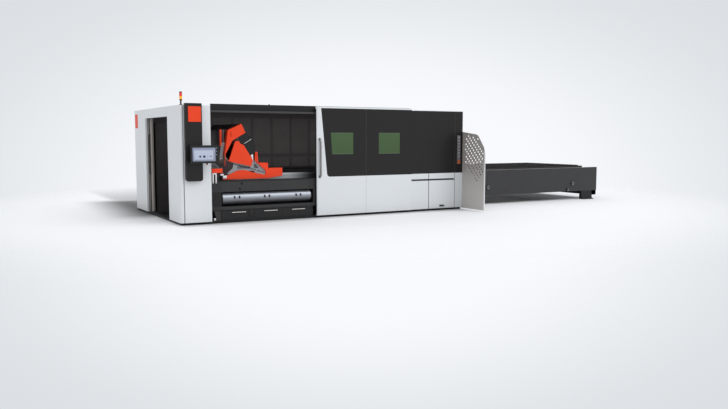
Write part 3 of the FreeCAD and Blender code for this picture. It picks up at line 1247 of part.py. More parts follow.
def upper_pallet():
    """The upper pallet: a tube frame on wheels that carries a row of upright slats."""
    right = pallet_rest + pallet_length
    back = pallet_front + pallet_width
    top = frame_z + PALLET_FRAME_HEIGHT
    frame = block((pallet_rest, right), (pallet_front, back), (frame_z, top))
    inner = block((pallet_rest + PALLET_TUBE, right - PALLET_TUBE),
                  (pallet_front + PALLET_TUBE, back - PALLET_TUBE), (frame_z, top))
    middle = block((pallet_rest + PALLET_TUBE, right - PALLET_TUBE),
                   (bed_centre_y - PALLET_TUBE / 2, bed_centre_y + PALLET_TUBE / 2),
                   (frame_z, top - SLAT_DROP / 2))
    slats = []
    for i in range(slat_count):
        x = pallet_rest + PALLET_TUBE + (i + 1) * slat_pitch
        slats.append(block((x - SLAT_THICKNESS / 2, x + SLAT_THICKNESS / 2),
                           (pallet_front + PALLET_TUBE / 2, back - PALLET_TUBE / 2),
                           (PALLET_TOP - SLAT_DROP, PALLET_TOP)))
    near = pallet_wheels()
    return fused([frame.cut(inner), middle] + slats + near + [across_bed(shape) for shape in near])


# ---- side door
def side_door_rail():
    """The double channel above the side doorway, where both leaves run."""
    low, high = side_rail_bottom, side_rail_bottom + SIDE_RAIL_HEIGHT
    slot = low + SIDE_RAIL_SLOT
    edge = SHOE_SIDE_CLEARANCE
    trail = (TRAIL_LEAF_X - edge, TRAIL_LEAF_X + TRAIL_LEAF + edge)
    lead = (LEAD_LEAF_X - edge, LEAD_LEAF_X + LEAD_LEAF + edge)
    far = SIDE_WALL + SIDE_RAIL_DEPTH
    corners = [(SIDE_WALL, low), (trail[0], low), (trail[0], slot), (trail[1], slot), (trail[1], low),
               (lead[0], low), (lead[0], slot), (lead[1], slot), (lead[1], low), (far, low), (far, high, 8),
               (SIDE_WALL, high)]
    return prism(corners, "xz", DOORWAY_FRONT + PANEL_GAP, inner_rear)


def door_leaf(x, thickness, front):
    """One leaf: a framed sheet, round along its front edge, with a shallow field in each face."""
    low = SKIRT_GAP + LEAF_BOTTOM_GAP
    rear = front + leaf_length
    bend = thickness * 0.4
    leaf = prism([(x, front, bend), (x + thickness, front, bend), (x + thickness, rear), (x, rear)], "xy",
                 low, leaf_top)
    rim, head = LEAF_RIM
    depth = thickness / 5
    field = rounded((front + rim, rear - rim), (low + rim, leaf_top - head), 20)
    outer = prism(field, "yz", x, x + depth)
    inner = prism(field, "yz", x + thickness - depth, x + thickness)
    return leaf.cut(outer).cut(inner)


def side_door_lead():
    """The leading leaf, which stands a little out of its pocket when open."""
    return door_leaf(LEAD_LEAF_X, LEAD_LEAF, lead_leaf_front)


def side_door_trail():
    """The trailing leaf."""
    return door_leaf(TRAIL_LEAF_X, TRAIL_LEAF, trail_leaf_front)


def side_door_handle():
    """The bowed handle on the leading leaf's outer face."""
    start = lead_leaf_front + (LEAD_PROUD - SIDE_HANDLE_WIDTH) / 2
    return bow_handle("xz", LEAD_LEAF_X, SIDE_HANDLE_BOTTOM, SIDE_HANDLE_TOP, -SIDE_HANDLE_REACH,
                      SIDE_HANDLE_BAR, start, SIDE_HANDLE_WIDTH)


# ---- cabinets
def cabinet(front, height):
    """A floor cabinet, open below, with a door joint on its right face."""
    span = (CABINET_LEFT, CABINET_LEFT + CABINET_LENGTH)
    body = block(span, (front, front + CABINET_DEPTH), (0, height))
    wall = CABINET_WALL
    hollow = block((span[0] + wall, span[1] - wall), (front + wall, front + CABINET_DEPTH - wall),
                   (0, height - wall))
    faces = []
    for inset in (CABINET_DOOR_INSET, CABINET_DOOR_INSET + CABINET_DOOR_JOINT):
        faces.append(block((span[1] - wall / 2, span[1]), (front + inset, front + CABINET_DEPTH - inset),
                           (CABINET_DOOR_FLOOR + inset, height - CABINET_DOOR_TOP - inset)))
    return body.cut(hollow).cut(faces[0].cut(faces[1]))


# ---- console, screen and tower
def console_housing():
    """The dark console on the column, with round lower corners and a two-lug yoke for the screen."""
    corners = [(CONSOLE_LEFT, CONSOLE_BOTTOM, CONSOLE_CORNER),
               (CONSOLE_RIGHT, CONSOLE_BOTTOM, CONSOLE_CORNER),
               (CONSOLE_RIGHT, console_top, 10), (CONSOLE_LEFT, console_top, 10)]
    body = prism(corners, "xz", -CONSOLE_DEPTH, 0)
    hollow = outline(corners, "xz", -CONSOLE_DEPTH + CONSOLE_WALL).makeOffset2D(-CONSOLE_WALL)
    shell = body.cut(hollow.extrude(Vector(0, CONSOLE_DEPTH, 0)))
    pieces = [shell]
    half = BARREL_LENGTH / 2
    for low in (SWIVEL_HEIGHT - half - LUG_GAP - LUG_THICKNESS, SWIVEL_HEIGHT + half + LUG_GAP):
        lug = [(SWIVEL_X - BARREL_RADIUS, -CONSOLE_DEPTH), (SWIVEL_X + BARREL_RADIUS, -CONSOLE_DEPTH),
               (SWIVEL_X + BARREL_RADIUS, swivel_y - BARREL_RADIUS, BARREL_RADIUS * 0.9),
               (SWIVEL_X - BARREL_RADIUS, swivel_y - BARREL_RADIUS, BARREL_RADIUS * 0.9)]
        pieces.append(prism(lug, "xy", low, low + LUG_THICKNESS))
    pieces.append(rod((SWIVEL_X, swivel_y, SWIVEL_HEIGHT - half - LUG_GAP), (0, 0, 1),
                      BARREL_LENGTH + 2 * LUG_GAP, PIN_RADIUS))
    return fused(pieces)


def screen_arm():
    """The arm that swivels on the console's pin and ends in the tilt knuckle."""
    low = SWIVEL_HEIGHT - BARREL_LENGTH / 2
    barrel = rod((SWIVEL_X, swivel_y, low), (0, 0, 1), BARREL_LENGTH, BARREL_RADIUS)
    neck = (screen_centre_x - 30, screen_centre_x + 30)
    reach = [(SWIVEL_X, swivel_y - BARREL_RADIUS * 0.9), (neck[0], tilt_y + 26, 8), (neck[0], tilt_y),
             (neck[1], tilt_y), (neck[1], tilt_y + 50, 12), (SWIVEL_X, swivel_y + BARREL_RADIUS * 0.4)]
    arm = prism(reach, "xy", SWIVEL_HEIGHT - ARM_HEIGHT / 2, SWIVEL_HEIGHT + ARM_HEIGHT / 2)
    knuckle = rod((screen_centre_x - KNUCKLE_LENGTH / 2, tilt_y, SWIVEL_HEIGHT), (1, 0, 0), KNUCKLE_LENGTH,
                  KNUCKLE_RADIUS)
    swivel_bore = rod((SWIVEL_X, swivel_y, low), (0, 0, 1), BARREL_LENGTH, PIN_RADIUS + PIN_CLEARANCE)
    tilt_bore = rod((screen_centre_x - KNUCKLE_LENGTH / 2, tilt_y, SWIVEL_HEIGHT), (1, 0, 0), KNUCKLE_LENGTH,
                    TILT_PIN_RADIUS + PIN_CLEARANCE)
    return fused([barrel, arm, knuckle]).cut(swivel_bore).cut(tilt_bore)


def screen_housing():
    """The screen's housing, with a recess for the display, two tilt lugs and a stop button base."""
    face = rounded((SCREEN_LEFT, SCREEN_RIGHT), (SCREEN_BOTTOM, SCREEN_TOP), SCREEN_CORNER)
    body = prism(face, "xz", -SCREEN_FRONT, screen_rear)
    recess = block(DISPLAY[:2], (-SCREEN_FRONT, -SCREEN_FRONT + DISPLAY_THICKNESS), DISPLAY[2:])
    pieces = [body.cut(recess)]
    for side in (-1, 1):
        inner = screen_centre_x + side * (KNUCKLE_LENGTH / 2 + LUG_GAP)
        outer = inner + side * TILT_LUG
        rear = tilt_y + KNUCKLE_RADIUS
        lug = [(screen_rear, SWIVEL_HEIGHT - 24), (rear, SWIVEL_HEIGHT - KNUCKLE_RADIUS, 13),
               (rear, SWIVEL_HEIGHT + KNUCKLE_RADIUS, 13), (screen_rear, SWIVEL_HEIGHT + 24)]
        pieces.append(prism(lug, "yz", min(inner, outer), max(inner, outer)))
    pieces.append(rod((screen_centre_x - KNUCKLE_LENGTH / 2 - LUG_GAP, tilt_y, SWIVEL_HEIGHT), (1, 0, 0),
                      KNUCKLE_LENGTH + 2 * LUG_GAP, TILT_PIN_RADIUS))
    pieces.append(rod((SCREEN_STOP_X, stop_y, SCREEN_BOTTOM), (0, 0, -1), SCREEN_STOP_BASE,
                      SCREEN_STOP_RADIUS + 3))
    bore = rod((SCREEN_STOP_X, stop_y, SCREEN_BOTTOM), (0, 0, -1), SCREEN_STOP_BASE,
               SCREEN_STOP_STEM + PIN_CLEARANCE)
    return fused(pieces).cut(bore)


def screen_display():
    """The glass of the display, in the housing's recess."""
    return block((DISPLAY[0] + 0.5, DISPLAY[1] - 0.5), (-SCREEN_FRONT + 1, -SCREEN_FRONT + DISPLAY_THICKNESS),
                 (DISPLAY[2] + 0.5, DISPLAY[3] - 0.5))


def screen_stop_button():
    """The mushroom button below the screen, with its stem in the base."""
    stem_top = SCREEN_STOP_BASE - STOP_TRAVEL
    profile = [(0, stem_top), (SCREEN_STOP_STEM, stem_top), (SCREEN_STOP_STEM, 0), (SCREEN_STOP_RADIUS, -2),
               (SCREEN_STOP_RADIUS, -SCREEN_STOP_HEIGHT, 4), (0, -SCREEN_STOP_HEIGHT - 2)]
    button = outline(profile, "xz", 0).revolve(Vector(0, 0, 0), Vector(0, 0, 1), 360)
    height = SCREEN_BOTTOM - SCREEN_STOP_BASE - STOP_TRAVEL - RUNNING_GAP
    button.translate(Vector(SCREEN_STOP_X, stop_y, height))
    return button


def accent_plates():
    """The two plain orange plates: on the console and high on the left wall."""
    rise = [console_top - drop for drop in CONSOLE_ACCENT_DROP]
    near = prism(rounded(CONSOLE_ACCENT_SPAN, rise, 6), "xz", -CONSOLE_DEPTH - ACCENT_THICKNESS,
                 -CONSOLE_DEPTH)
    run = [CABIN_DEPTH - setback for setback in SIDE_ACCENT_SETBACK]
    rise = [CABIN_HEIGHT - drop for drop in SIDE_ACCENT_DROP]
    side = prism(rounded(run, rise, 6), "yz", -ACCENT_THICKNESS, 0)
    return Part.makeCompound([near, side])


def tower_levels():
    """The heights of the tower's joints, from the roof up."""
    pole = CABIN_HEIGHT + TOWER_POLE_HEIGHT
    amber = pole + TOWER_LAMP_HEIGHT + LAMP_JOINT
    return pole, amber, amber + TOWER_LAMP_HEIGHT + LAMP_JOINT


def tower_stem():
    """The tower's foot, pole, collars, tie rod and cap, turned as one."""
    pole, amber, cap = tower_levels()
    radius, neck, core = TOWER_RADIUS, TOWER_RADIUS * 0.55, TOWER_ROD_RADIUS
    foot = CABIN_HEIGHT + TOWER_FOOT_HEIGHT
    joint = amber - LAMP_JOINT
    profile = [(0, CABIN_HEIGHT), (TOWER_FOOT_RADIUS, CABIN_HEIGHT), (TOWER_FOOT_RADIUS, foot),
               (neck, foot + 8), (neck, pole - 24), (radius, pole - 16), (radius, pole), (core, pole), (core, joint),
               (radius, joint), (radius, amber), (core, amber),
               (core, cap - LAMP_JOINT), (radius, cap - LAMP_JOINT), (radius, cap + TOWER_CAP_HEIGHT - 6, 0),
               (radius - 6, cap + TOWER_CAP_HEIGHT), (0, cap + TOWER_CAP_HEIGHT)]
    stem = outline(profile, "xz", 0).revolve(Vector(0, 0, 0), Vector(0, 0, 1), 360)
    stem.translate(Vector(TOWER_X, TOWER_Y, 0))
    return stem


def tower_lamp(low):
    """One ribbed lamp ring of the tower."""
    wall = 3.0
    high = low + TOWER_LAMP_HEIGHT
    outer = rod((TOWER_X, TOWER_Y, low), (0, 0, 1), TOWER_LAMP_HEIGHT, TOWER_RADIUS - 1)
    bore = rod((TOWER_X, TOWER_Y, low), (0, 0, 1), high - low, TOWER_RADIUS - 1 - wall)
    return outer.cut(bore)


# ---- the whole machine
def build_nodes():
    """Every node by name, in the modelling frame."""
    pole, amber, _ = tower_levels()
    near_side = table_side_front()
    upper = upper_pallet()
    nodes = {
        "plinth": plinth(), "column_cover": column_cover(), "left_side_wall": left_side_wall(),
        "rear_wall": rear_wall(), "roof": roof(),
        "header_beam": header_beam(), "door_rail": door_rail(), "front_wall": front_wall(),
        "right_upper_panel": right_upper_panel(), "right_lower_panel": right_lower_panel(),
        "service_flap": service_flap(), "right_end_wall": right_end_wall(), "shuttle_gate": shuttle_gate(),
        "front_door_frame": front_door_frame(), "front_door_panel": front_door_panel(),
        "front_door_windows": front_door_windows(), "front_door_handle": front_door_handle(),
        "button_strip": button_strip(), "strip_stop_plate": strip_stop_plate(), "light_fence": light_fence(),
        "bed_front_beam": bed_front_beam(), "bed_rear_beam": bed_rear_beam(),
        "bed_cross_bars": bed_cross_bars(), "bed_feet": bed_feet(), "x_rails": x_rails(),
        "exhaust_duct": exhaust_duct(),
        "drawer_housing": drawer_housing(), "gantry_beam": gantry_beam(),
        "gantry_castings": gantry_castings(),
        "gantry_arm_cover": gantry_arm_cover(), "gantry_end_shields": gantry_end_shields(),
        "gantry_hood": gantry_hood(), "gantry_skirt": gantry_skirt(), "y_carriage": y_carriage(),
        "cutting_head": cutting_head(), "table_side_front": near_side,
        "table_side_rear": across_bed(near_side), "table_cross_members": table_cross_members(),
        "table_feet": table_feet(), "pallet_rails": pallet_rails(),
        "upper_pallet": upper,
        "lower_pallet": upper.translated(Vector(-PALLET_TRAVEL, 0, -LEVEL_STEP)),
        "side_door_rail": side_door_rail(), "side_door_lead": side_door_lead(),
        "side_door_trail": side_door_trail(), "side_door_handle": side_door_handle(),
        "electrical_cabinet": cabinet(cabinet_front, CABINET_HEIGHT),
        "laser_source": cabinet(cabinet_front + CABINET_DEPTH, SOURCE_HEIGHT),
        "console_housing": console_housing(), "screen_arm": screen_arm(), "screen_housing": screen_housing(),
        "screen_display": screen_display(), "screen_stop_button": screen_stop_button(),
        "accent_plates": accent_plates(), "tower_stem": tower_stem(),
        "tower_amber_lamp": tower_lamp(pole), "tower_red_lamp": tower_lamp(amber),
    }
    for name, left in zip(("drawer_left", "drawer_middle", "drawer_right"), DRAWER_LEFTS):
        nodes[name] = drawer(left)
    return nodes


def write_nodes():
    """Writes each node to its own file, with the origin under the middle of the whole machine."""
    os.makedirs("parts", exist_ok=True)
    for name, shape in build_nodes().items():
        shape.translated(origin_shift).exportStep("parts/" + name + ".step")


write_nodes()
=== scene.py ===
from functools import reduce
from math import cos, pi, radians, sin
from operator import mul

import bpy
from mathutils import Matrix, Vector


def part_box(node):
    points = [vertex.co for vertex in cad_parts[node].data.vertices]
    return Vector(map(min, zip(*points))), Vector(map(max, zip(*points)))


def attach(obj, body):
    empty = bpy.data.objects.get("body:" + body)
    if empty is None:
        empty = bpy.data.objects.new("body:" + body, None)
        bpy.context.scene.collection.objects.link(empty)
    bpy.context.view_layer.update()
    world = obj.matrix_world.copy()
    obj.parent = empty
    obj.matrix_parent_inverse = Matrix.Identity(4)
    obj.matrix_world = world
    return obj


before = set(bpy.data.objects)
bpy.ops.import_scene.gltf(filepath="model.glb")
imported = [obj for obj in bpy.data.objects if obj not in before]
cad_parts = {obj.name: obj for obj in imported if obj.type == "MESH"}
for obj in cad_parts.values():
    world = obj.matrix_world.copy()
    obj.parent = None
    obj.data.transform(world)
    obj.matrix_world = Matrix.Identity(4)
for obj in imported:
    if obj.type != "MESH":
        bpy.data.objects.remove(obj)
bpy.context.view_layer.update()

bl_info = {
    "name": "Sheet metal laser cutter",
    "version": (1, 0, 0),
    "blender": (4, 5, 0),
    "location": "3D View > Sidebar > Cutter",
    "description": "Finishes and fittings of a laser cutter with a cabin and a shuttle table",
    "category": "Object",
}

COVER_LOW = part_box("column_cover")[0]
FRONT_LEFT = Vector((COVER_LOW.x, COVER_LOW.y, 0.0))
MILLIMETRE = 0.001

# Places on the machine, in millimetres from the cabin's front left corner on the floor.
SKIN_LOW, SKIN_HIGH = (46, 58), (6986, 3862)
SKIN_TOP = 2389
INNER_REAR = (3837.5, 3839)
RIGHT_BODY = 5512
LOW_COVERS, HIGH_COVERS = (52, 900), (900, 2388)
DOOR_SEAM_TOP = 896
BED_END = 6990
DUCT_Y, DUCT_Z = 187, 499
DUCT_SLOTS = (1148, 1816, 2546)
RIB_START, RIB_END = (1200, 1196), (1870, 1012)
BEARINGS = (("near", 8296, 456, 44, 62), ("low", 11190, 288, 34, 48), ("far", 11367, 469, 44, 62))
BEARING_FACE = 567
SHIELD_FACE, CASTING_FACE = 182, 212
CASTING_BOLTS = ((1108, 1098), (1208, 1180), (1700, 1080), (1812, 1050), (1880, 1030))
SHIELD_BOLTS = ((1130, 1290), (1262, 1640), (1420, 1560), (1556, 1310), (1540, 1190))
BRACKET_FACE = 54
SCREEN_FACE = -300
REAR_FACE = 3880
LID_TOP = 2418


# ---- places and colours
def at(x, y, z):
    """A place given in millimetres from the cabin's front left corner on the floor."""
    return FRONT_LEFT + Vector((x, y, z)) * MILLIMETRE


def mark(axis, millimetres):
    """A place on one axis, as a number in the frame's metres."""
    return getattr(FRONT_LEFT, axis) + millimetres * MILLIMETRE


def paint_colour(code):
    """A colour chart code such as d5d9de as linear red, green and blue."""
    channels = [int(code[i:i + 2], 16) / 255 for i in (0, 2, 4)]
    return tuple(c / 12.92 if c <= 0.04045 else ((c + 0.055) / 1.055) ** 2.4 for c in channels)


def tones(*codes):
    """Several colour chart codes as colours."""
    return [paint_colour(code) for code in codes]


def tinted(colour, share):
    """A colour made darker or lighter."""
    return [min(1.0, c * share) for c in colour]


def shades_of(colour, *shares):
    """A colour in several shades."""
    return [tinted(colour, share) for share in shares]


def rgba(colour):
    """A colour with full opacity."""
    return tuple(colour) + (1.0,)


# ---- what a user may change
def colour_setting(name, description, code):
    """A colour property with its default from the colour chart."""
    return bpy.props.FloatVectorProperty(name=name, description=description, default=paint_colour(code),
                                         min=0.0, max=1.0, subtype="COLOR")


def length_setting(name, description, millimetres, low, high):
    """A length property in metres with its default given in millimetres."""
    return bpy.props.FloatProperty(name=name, description=description, default=millimetres * MILLIMETRE,
                                   min=low * MILLIMETRE, max=high * MILLIMETRE, unit="LENGTH")


def light_setting(name, description, strength, high):
    """The strength of a light."""
    return bpy.props.FloatProperty(name=name, description=description, default=strength, min=0.0, max=high)


class CutterColours(bpy.types.PropertyGroup):
    """The paints and plastics of the machine."""

    cover: colour_setting("Covers", "Powder coat of the cabin covers", "d3d7db")
    inside: colour_setting("Inside", "Paint inside the cabin", "5c5858")
    panel: colour_setting("Glossy panels", "Door panel and console", "1d1b1b")
    accent: colour_setting("Accent", "Orange paint of plates and gantry covers", "e4401a")
    bed: colour_setting("Bed", "Textured paint of the bed and the table", "343435")
    window: colour_setting("Windows", "Laser safety glass of the door windows", "415739")
    casting: colour_setting("Castings", "Primer on the gantry castings", "8b8d91")
    fence: colour_setting("Fence", "Powder coat of the guard fence", "a39e9a")
    screen: colour_setting("Screen", "Ground colour of the touch screen", "8b92a6")
    leaf: colour_setting("Side door", "Paint of the telescopic side door", "aaa5a1")


class CutterSizes(bpy.types.PropertyGroup):
    """The sizes of the fittings."""

    edge: length_setting("Edge", "Bevel on the edges of plates and bars", 1.2, 0.2, 3.0)
    bolt: length_setting("Bolt head", "Radius of the heads on the gantry's casting", 8.0, 4.0, 16.0)
    key: length_setting("Soft key", "Radius of the keys beside the screen", 8.0, 4.0, 12.0)


class CutterStage(bpy.types.PropertyGroup):
    """The studio around the machine."""

    glow: colour_setting("Glow", "Bright middle of the backdrop and the floor", "f8fafd")
    rim: colour_setting("Rim", "Colour that the backdrop fades to", "dce0e4")
    ambient: light_setting("Ambient", "Strength of the light from all round", 0.92, 2.0)
    key_light: light_setting("Key light", "Strength of the large lamp", 0.95, 10.0)
    cabin_light: light_setting("Cabin light", "Strength of the two lamps in the cabin", 27.0, 500.0)


def colours():
    return bpy.context.scene.cutter_colours


def sizes():
    return bpy.context.scene.cutter_sizes


# ---- shader writing
class Signal:
    """A shader socket that takes part in Python arithmetic."""

    def __init__(self, finish, socket):
        self.finish = finish
        self.socket = socket

    def maths(self, operation, *others):
        return self.finish.maths(operation, self, *others)

    def __add__(self, other):
        return self.maths("ADD", other)

    __radd__ = __add__

    def __sub__(self, other):
        return self.maths("SUBTRACT", other)

    def __rsub__(self, other):
        return self.finish.maths("SUBTRACT", other, self)

    def __mul__(self, other):
        return self.maths("MULTIPLY", other)

    __rmul__ = __mul__

    def __truediv__(self, other):
        return self.maths("DIVIDE", other)

    def __rtruediv__(self, other):
        return self.finish.maths("DIVIDE", other, self)

    def __pow__(self, other):
        return self.maths("POWER", other)

    def __gt__(self, other):
        return self.maths("GREATER_THAN", other)

    def __lt__(self, other):
        return self.maths("LESS_THAN", other)

    def __abs__(self):
        return self.maths("ABSOLUTE")

    def smooth(self, low, high):
        """0 below low, 1 above high, and an even curve between them."""
        node = self.finish.add("ShaderNodeMapRange", {"interpolation_type": "SMOOTHSTEP"},
                               {"Value": self, "From Min": low, "From Max": high})
        return Signal(self.finish, node.outputs[0])


class Nodes:
    """A node tree, written node by node."""

    def __init__(self, tree, place):
        self.tree = tree
        coordinates = self.add("ShaderNodeTexCoord", {}, {})
        self.place = Signal(self, coordinates.outputs[place])
        parts = self.add("ShaderNodeSeparateXYZ", {}, {0: self.place})
        self.x, self.y, self.z = (Signal(self, output) for output in parts.outputs)

    def add(self, kind, settings, sockets):
        """Any node: its settings first, then values or links for its sockets."""
        node = self.tree.nodes.new(kind)
        for name, value in settings.items():
            setattr(node, name, value)
        for name, value in sockets.items():
            self.feed(node.inputs[name], value)
        return node

    def feed(self, socket, value):
        """Give one socket a link or a value."""
        if isinstance(value, Signal):
            self.tree.links.new(value.socket, socket)
        elif socket.type == "RGBA" and len(value) == 3:
            socket.default_value = rgba(value)
        else:
            socket.default_value = value

    def maths(self, operation, *values):
        node = self.add("ShaderNodeMath", {"operation": operation}, dict(enumerate(values)))
        return Signal(self, node.outputs[0])

    def greatest(self, *signals):
        """The greatest of several signals."""
        return reduce(lambda one, other: self.maths("MAXIMUM", one, other), signals)

    def mix(self, share, low, high):
        """Two colours mixed by a share."""
        node = self.add("ShaderNodeMix", {"data_type": "RGBA"}, {0: share, 6: low, 7: high})
        return Signal(self, node.outputs[2])

    def blend(self, share, one, other, output):
        """Two shaders mixed by a share, sent to the tree's output."""
        node = self.add("ShaderNodeMixShader", {}, {0: share})
        self.tree.links.new(one.outputs[0], node.inputs[1])
        self.tree.links.new(other.outputs[0], node.inputs[2])
        self.tree.links.new(node.outputs[0], self.tree.nodes[output].inputs["Surface"])

    def along(self, direction):
        """How far the place lies along a fixed direction."""
        return self.x * direction.x + self.y * direction.y + self.z * direction.z


class Finish(Nodes):
    """One material."""

    def __init__(self, roughness=0.5, metallic=0.0, coat=0.0, coat_roughness=0.1, ior=1.45):
        self.material = bpy.data.materials.new("finish")
        self.material.use_nodes = True
        super().__init__(self.material.node_tree, "Object")
        self.shader = self.tree.nodes["Principled BSDF"]
        self.set(Roughness=roughness, Metallic=metallic, IOR=ior)
        self.shader.inputs["Coat Weight"].default_value = coat
        self.shader.inputs["Coat Roughness"].default_value = coat_roughness

    def set(self, **sockets):
        """Feed the shader's own sockets, named with underscores for spaces."""
        for name, value in sockets.items():
            self.feed(self.shader.inputs[name.replace("_", " ")], value)

    def stretched(self, x, y, z):
        """The place with each axis scaled."""
        node = self.add("ShaderNodeVectorMath", {"operation": "MULTIPLY"}, {0: self.place, 1: (x, y, z)})
        return Signal(self, node.outputs[0])

    def noise(self, scale, detail=2.0, roughness=0.5, place=None):
        node = self.add("ShaderNodeTexNoise", {}, {"Vector": place or self.place, "Scale": scale,
                                                   "Detail": detail, "Roughness": roughness})
        return Signal(self, node.outputs[0])

    def drawn(self, *stretch, detail=3.0, roughness=0.6):
        """Fine lines along the axis that is stretched least."""
        return self.noise(1.0, detail, roughness, self.stretched(*stretch))

    def cells(self, scale):
        node = self.add("ShaderNodeTexVoronoi", {}, {"Vector": self.place, "Scale": scale})
        return Signal(self, node.outputs[0])

    def past(self, axis, low, high):
        """0 before one place on an axis and 1 after another, both in millimetres."""
        return getattr(self, axis).smooth(mark(axis, low), mark(axis, high))

    def within(self, soft=0.4, **spans):
        """1 between two places on each named axis, with soft ends, all in millimetres."""
        bands = [self.past(axis, low - soft, low + soft) * (1 - self.past(axis, high - soft, high + soft))
                 for axis, (low, high) in spans.items()]
        return reduce(mul, bands)

    def spot(self, x, z, radius, soft=0.8):
        """1 in a disc seen from the front, in millimetres."""
        away = ((self.x - mark("x", x)) ** 2 + (self.z - mark("z", z)) ** 2) ** 0.5
        return 1 - away.smooth((radius - soft) * MILLIMETRE, (radius + soft) * MILLIMETRE)

    def cabin_inside(self):
        """1 for places within the cabin's skin."""
        across = (self.x > mark("x", SKIN_LOW[0])) * (self.x < mark("x", SKIN_HIGH[0]))
        deep = (self.y > mark("y", SKIN_LOW[1])) * (self.y < mark("y", SKIN_HIGH[1]))
        return across * deep * (self.z < mark("z", SKIN_TOP))

    def over(self, share, shade, code):
        """A shade with a chart colour laid over a share of it."""
        return self.mix(share, shade, paint_colour(code))

    def bump(self, height, strength, distance):
        node = self.add("ShaderNodeBump", {}, {"Height": height, "Strength": strength, "Distance": distance})
        self.set(Normal=Signal(self, node.outputs[0]))

    def peel(self, strength=0.12):
        """The fine orange peel of powder coat."""
        self.bump(self.noise(420.0, 3.0, 0.6), strength, 0.0006)


def mottled(shades, grain, gloss, bump=None, peel=None, stretch=None, **surface):
    """A finish whose two shades and gloss follow one noise.

    grain is the noise's scale, detail and roughness; gloss is the lowest roughness and its spread;
    bump is the strength and depth of a relief from the same noise.
    """
    finish = Finish(**surface)
    place = finish.stretched(*stretch) if stretch else None
    noise = finish.noise(*grain, place=place)
    finish.set(Base_Color=finish.mix(noise, *shades), Roughness=gloss[0] + noise * gloss[1])
    if bump:
        finish.bump(noise, *bump)
    if peel:
        finish.peel(peel)
    return finish


def coat(make):
    """The material that a finish function makes, once, named like the function."""
    material = bpy.data.materials.get(make.__name__)
    if not material:
        material = make().material
        material.name = make.__name__
    return material


def dress(make, *nodes):
    """Give CAD nodes this finish."""
    for node in nodes:
        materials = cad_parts[node].data.materials
        materials.clear()
        materials.append(coat(make))


# ---- finishes of the CAD nodes
def cover_paint():
    """Pale powder coat outside, dark paint inside the cabin, dark seams, and painted shade in the right body's
    groove and in the column's seam.
    """
    finish = Finish(coat=0.1, coat_roughness=0.2)
    cover, dark = colours().cover, colours().inside
    drift = finish.noise(1.6, 3.0)
    shade = finish.mix(drift, tinted(cover, 0.97), cover)
    dust = (1 - finish.past("z", 50, 300)) * finish.noise(14.0, 4.0, 0.65) * 0.16
    shade = finish.over(dust, shade, "9c9a96")
    front = 1 - finish.past("y", 50, 54)
    right_body = finish.x > mark("x", RIGHT_BODY)
    # Painted shade: the groove along the right body is painted near black.
    groove = finish.within(2, x=(RIGHT_BODY, 6775), z=(729, 770))
    body_seam = finish.within(3, x=(6012, 6030), z=LOW_COVERS)
    end_seam = finish.within(3, x=(6785, 6803), z=LOW_COVERS)
    groove_shade_and_seams = groove + (body_seam + end_seam * 0.75) * 0.85
    shade = finish.over(groove_shade_and_seams * front * right_body, shade, "2a2b2c")
    grip = finish.within(x=(6300, 6500), z=(80, 150)) * (finish.y < mark("y", 29.3))
    shade = finish.over(grip, shade, "1f1f20")
    door_seam = finish.within(3, x=(4265, 4277), z=(52, DOOR_SEAM_TOP)) * front
    shade = finish.over(door_seam * 0.35, shade, "7d8084")
    # Painted shade inside the column's seam channel.
    column_seam_shade = (finish.within(x=(71.5, 92.5), z=(40, 2390)) * finish.past("y", 1.5, 3)
                   * (finish.y < mark("y", 18)))
    shade = finish.over(column_seam_shade * 0.7, shade, "7c7e80")
    inside = finish.cabin_inside()
    sooty = finish.mix(finish.noise(3.0, 4.0), *shades_of(dark, 0.75, 1.1))
    sooty = finish.mix(finish.past("y", *INNER_REAR), tinted(dark, 0.66), sooty)
    finish.set(Base_Color=finish.mix(inside, shade, sooty),
               Roughness=0.34 + drift * 0.08 + inside * 0.25)
    finish.peel()
    return finish


def inside_paint():
    """Dark satin paint inside the cabin."""
    return mottled(shades_of(colours().inside, 0.3, 0.5), (4.0, 5.0, 0.6), (0.5, 0.2), peel=0.1, ior=1.35)


def beam_primer():
    """Grey primer on the welded beam, with a warm red tint that is painted bounce light from the orange covers.
    """
    # Painted light: the red tint stands in for light bounced from the orange covers.
    return mottled(tones("8d7b78", "a89792"), (6.0, 5.0, 0.6), (0.5, 0.2), peel=0.1)


def panel_gloss():
    """Dark glossy panel with a clear coat, a little deeper towards the right end."""
    finish = Finish(coat=0.1, coat_roughness=0.06, ior=1.33)
    depth = finish.noise(2.2, 3.0)
    haze = finish.noise(60.0, 5.0, 0.7)
    left = 1 - finish.past("x", 5600, 7000) * 0.3
    shade = finish.mix(left * (0.75 + depth * 0.25), tinted(colours().panel, 0.3), colours().panel)
    seams = (finish.within(3, x=(6017, 6031), z=HIGH_COVERS) + finish.within(3, x=(6784, 6797), z=HIGH_COVERS)
             + finish.within(3, x=(4264, 4278), z=(DOOR_SEAM_TOP, 2400)))
    finish.set(Base_Color=finish.over(seams * 0.5, shade, "565353"), Roughness=0.26 + haze * 0.12)
    finish.bump(finish.noise(160.0, 2.0), 0.03, 0.0005)
    return finish


def accent_paint():
    """Orange powder coat, with a painted shade line down the skirt's post."""
    finish = Finish(coat=0.06, coat_roughness=0.2, ior=1.3)
    drift = finish.noise(3.0, 4.0)
    shade = finish.mix(drift, tinted(colours().accent, 0.9), colours().accent)
    # Painted shade: a dark line down the flat post, as if it were folded round.
    painted_fold_shading = finish.within(4, x=(1691, 1704), z=(1226, 1440))
    finish.set(Base_Color=finish.over(painted_fold_shading * 0.8, shade, "7c2414"), Roughness=0.4 + drift * 0.1)
    finish.peel()
    return finish


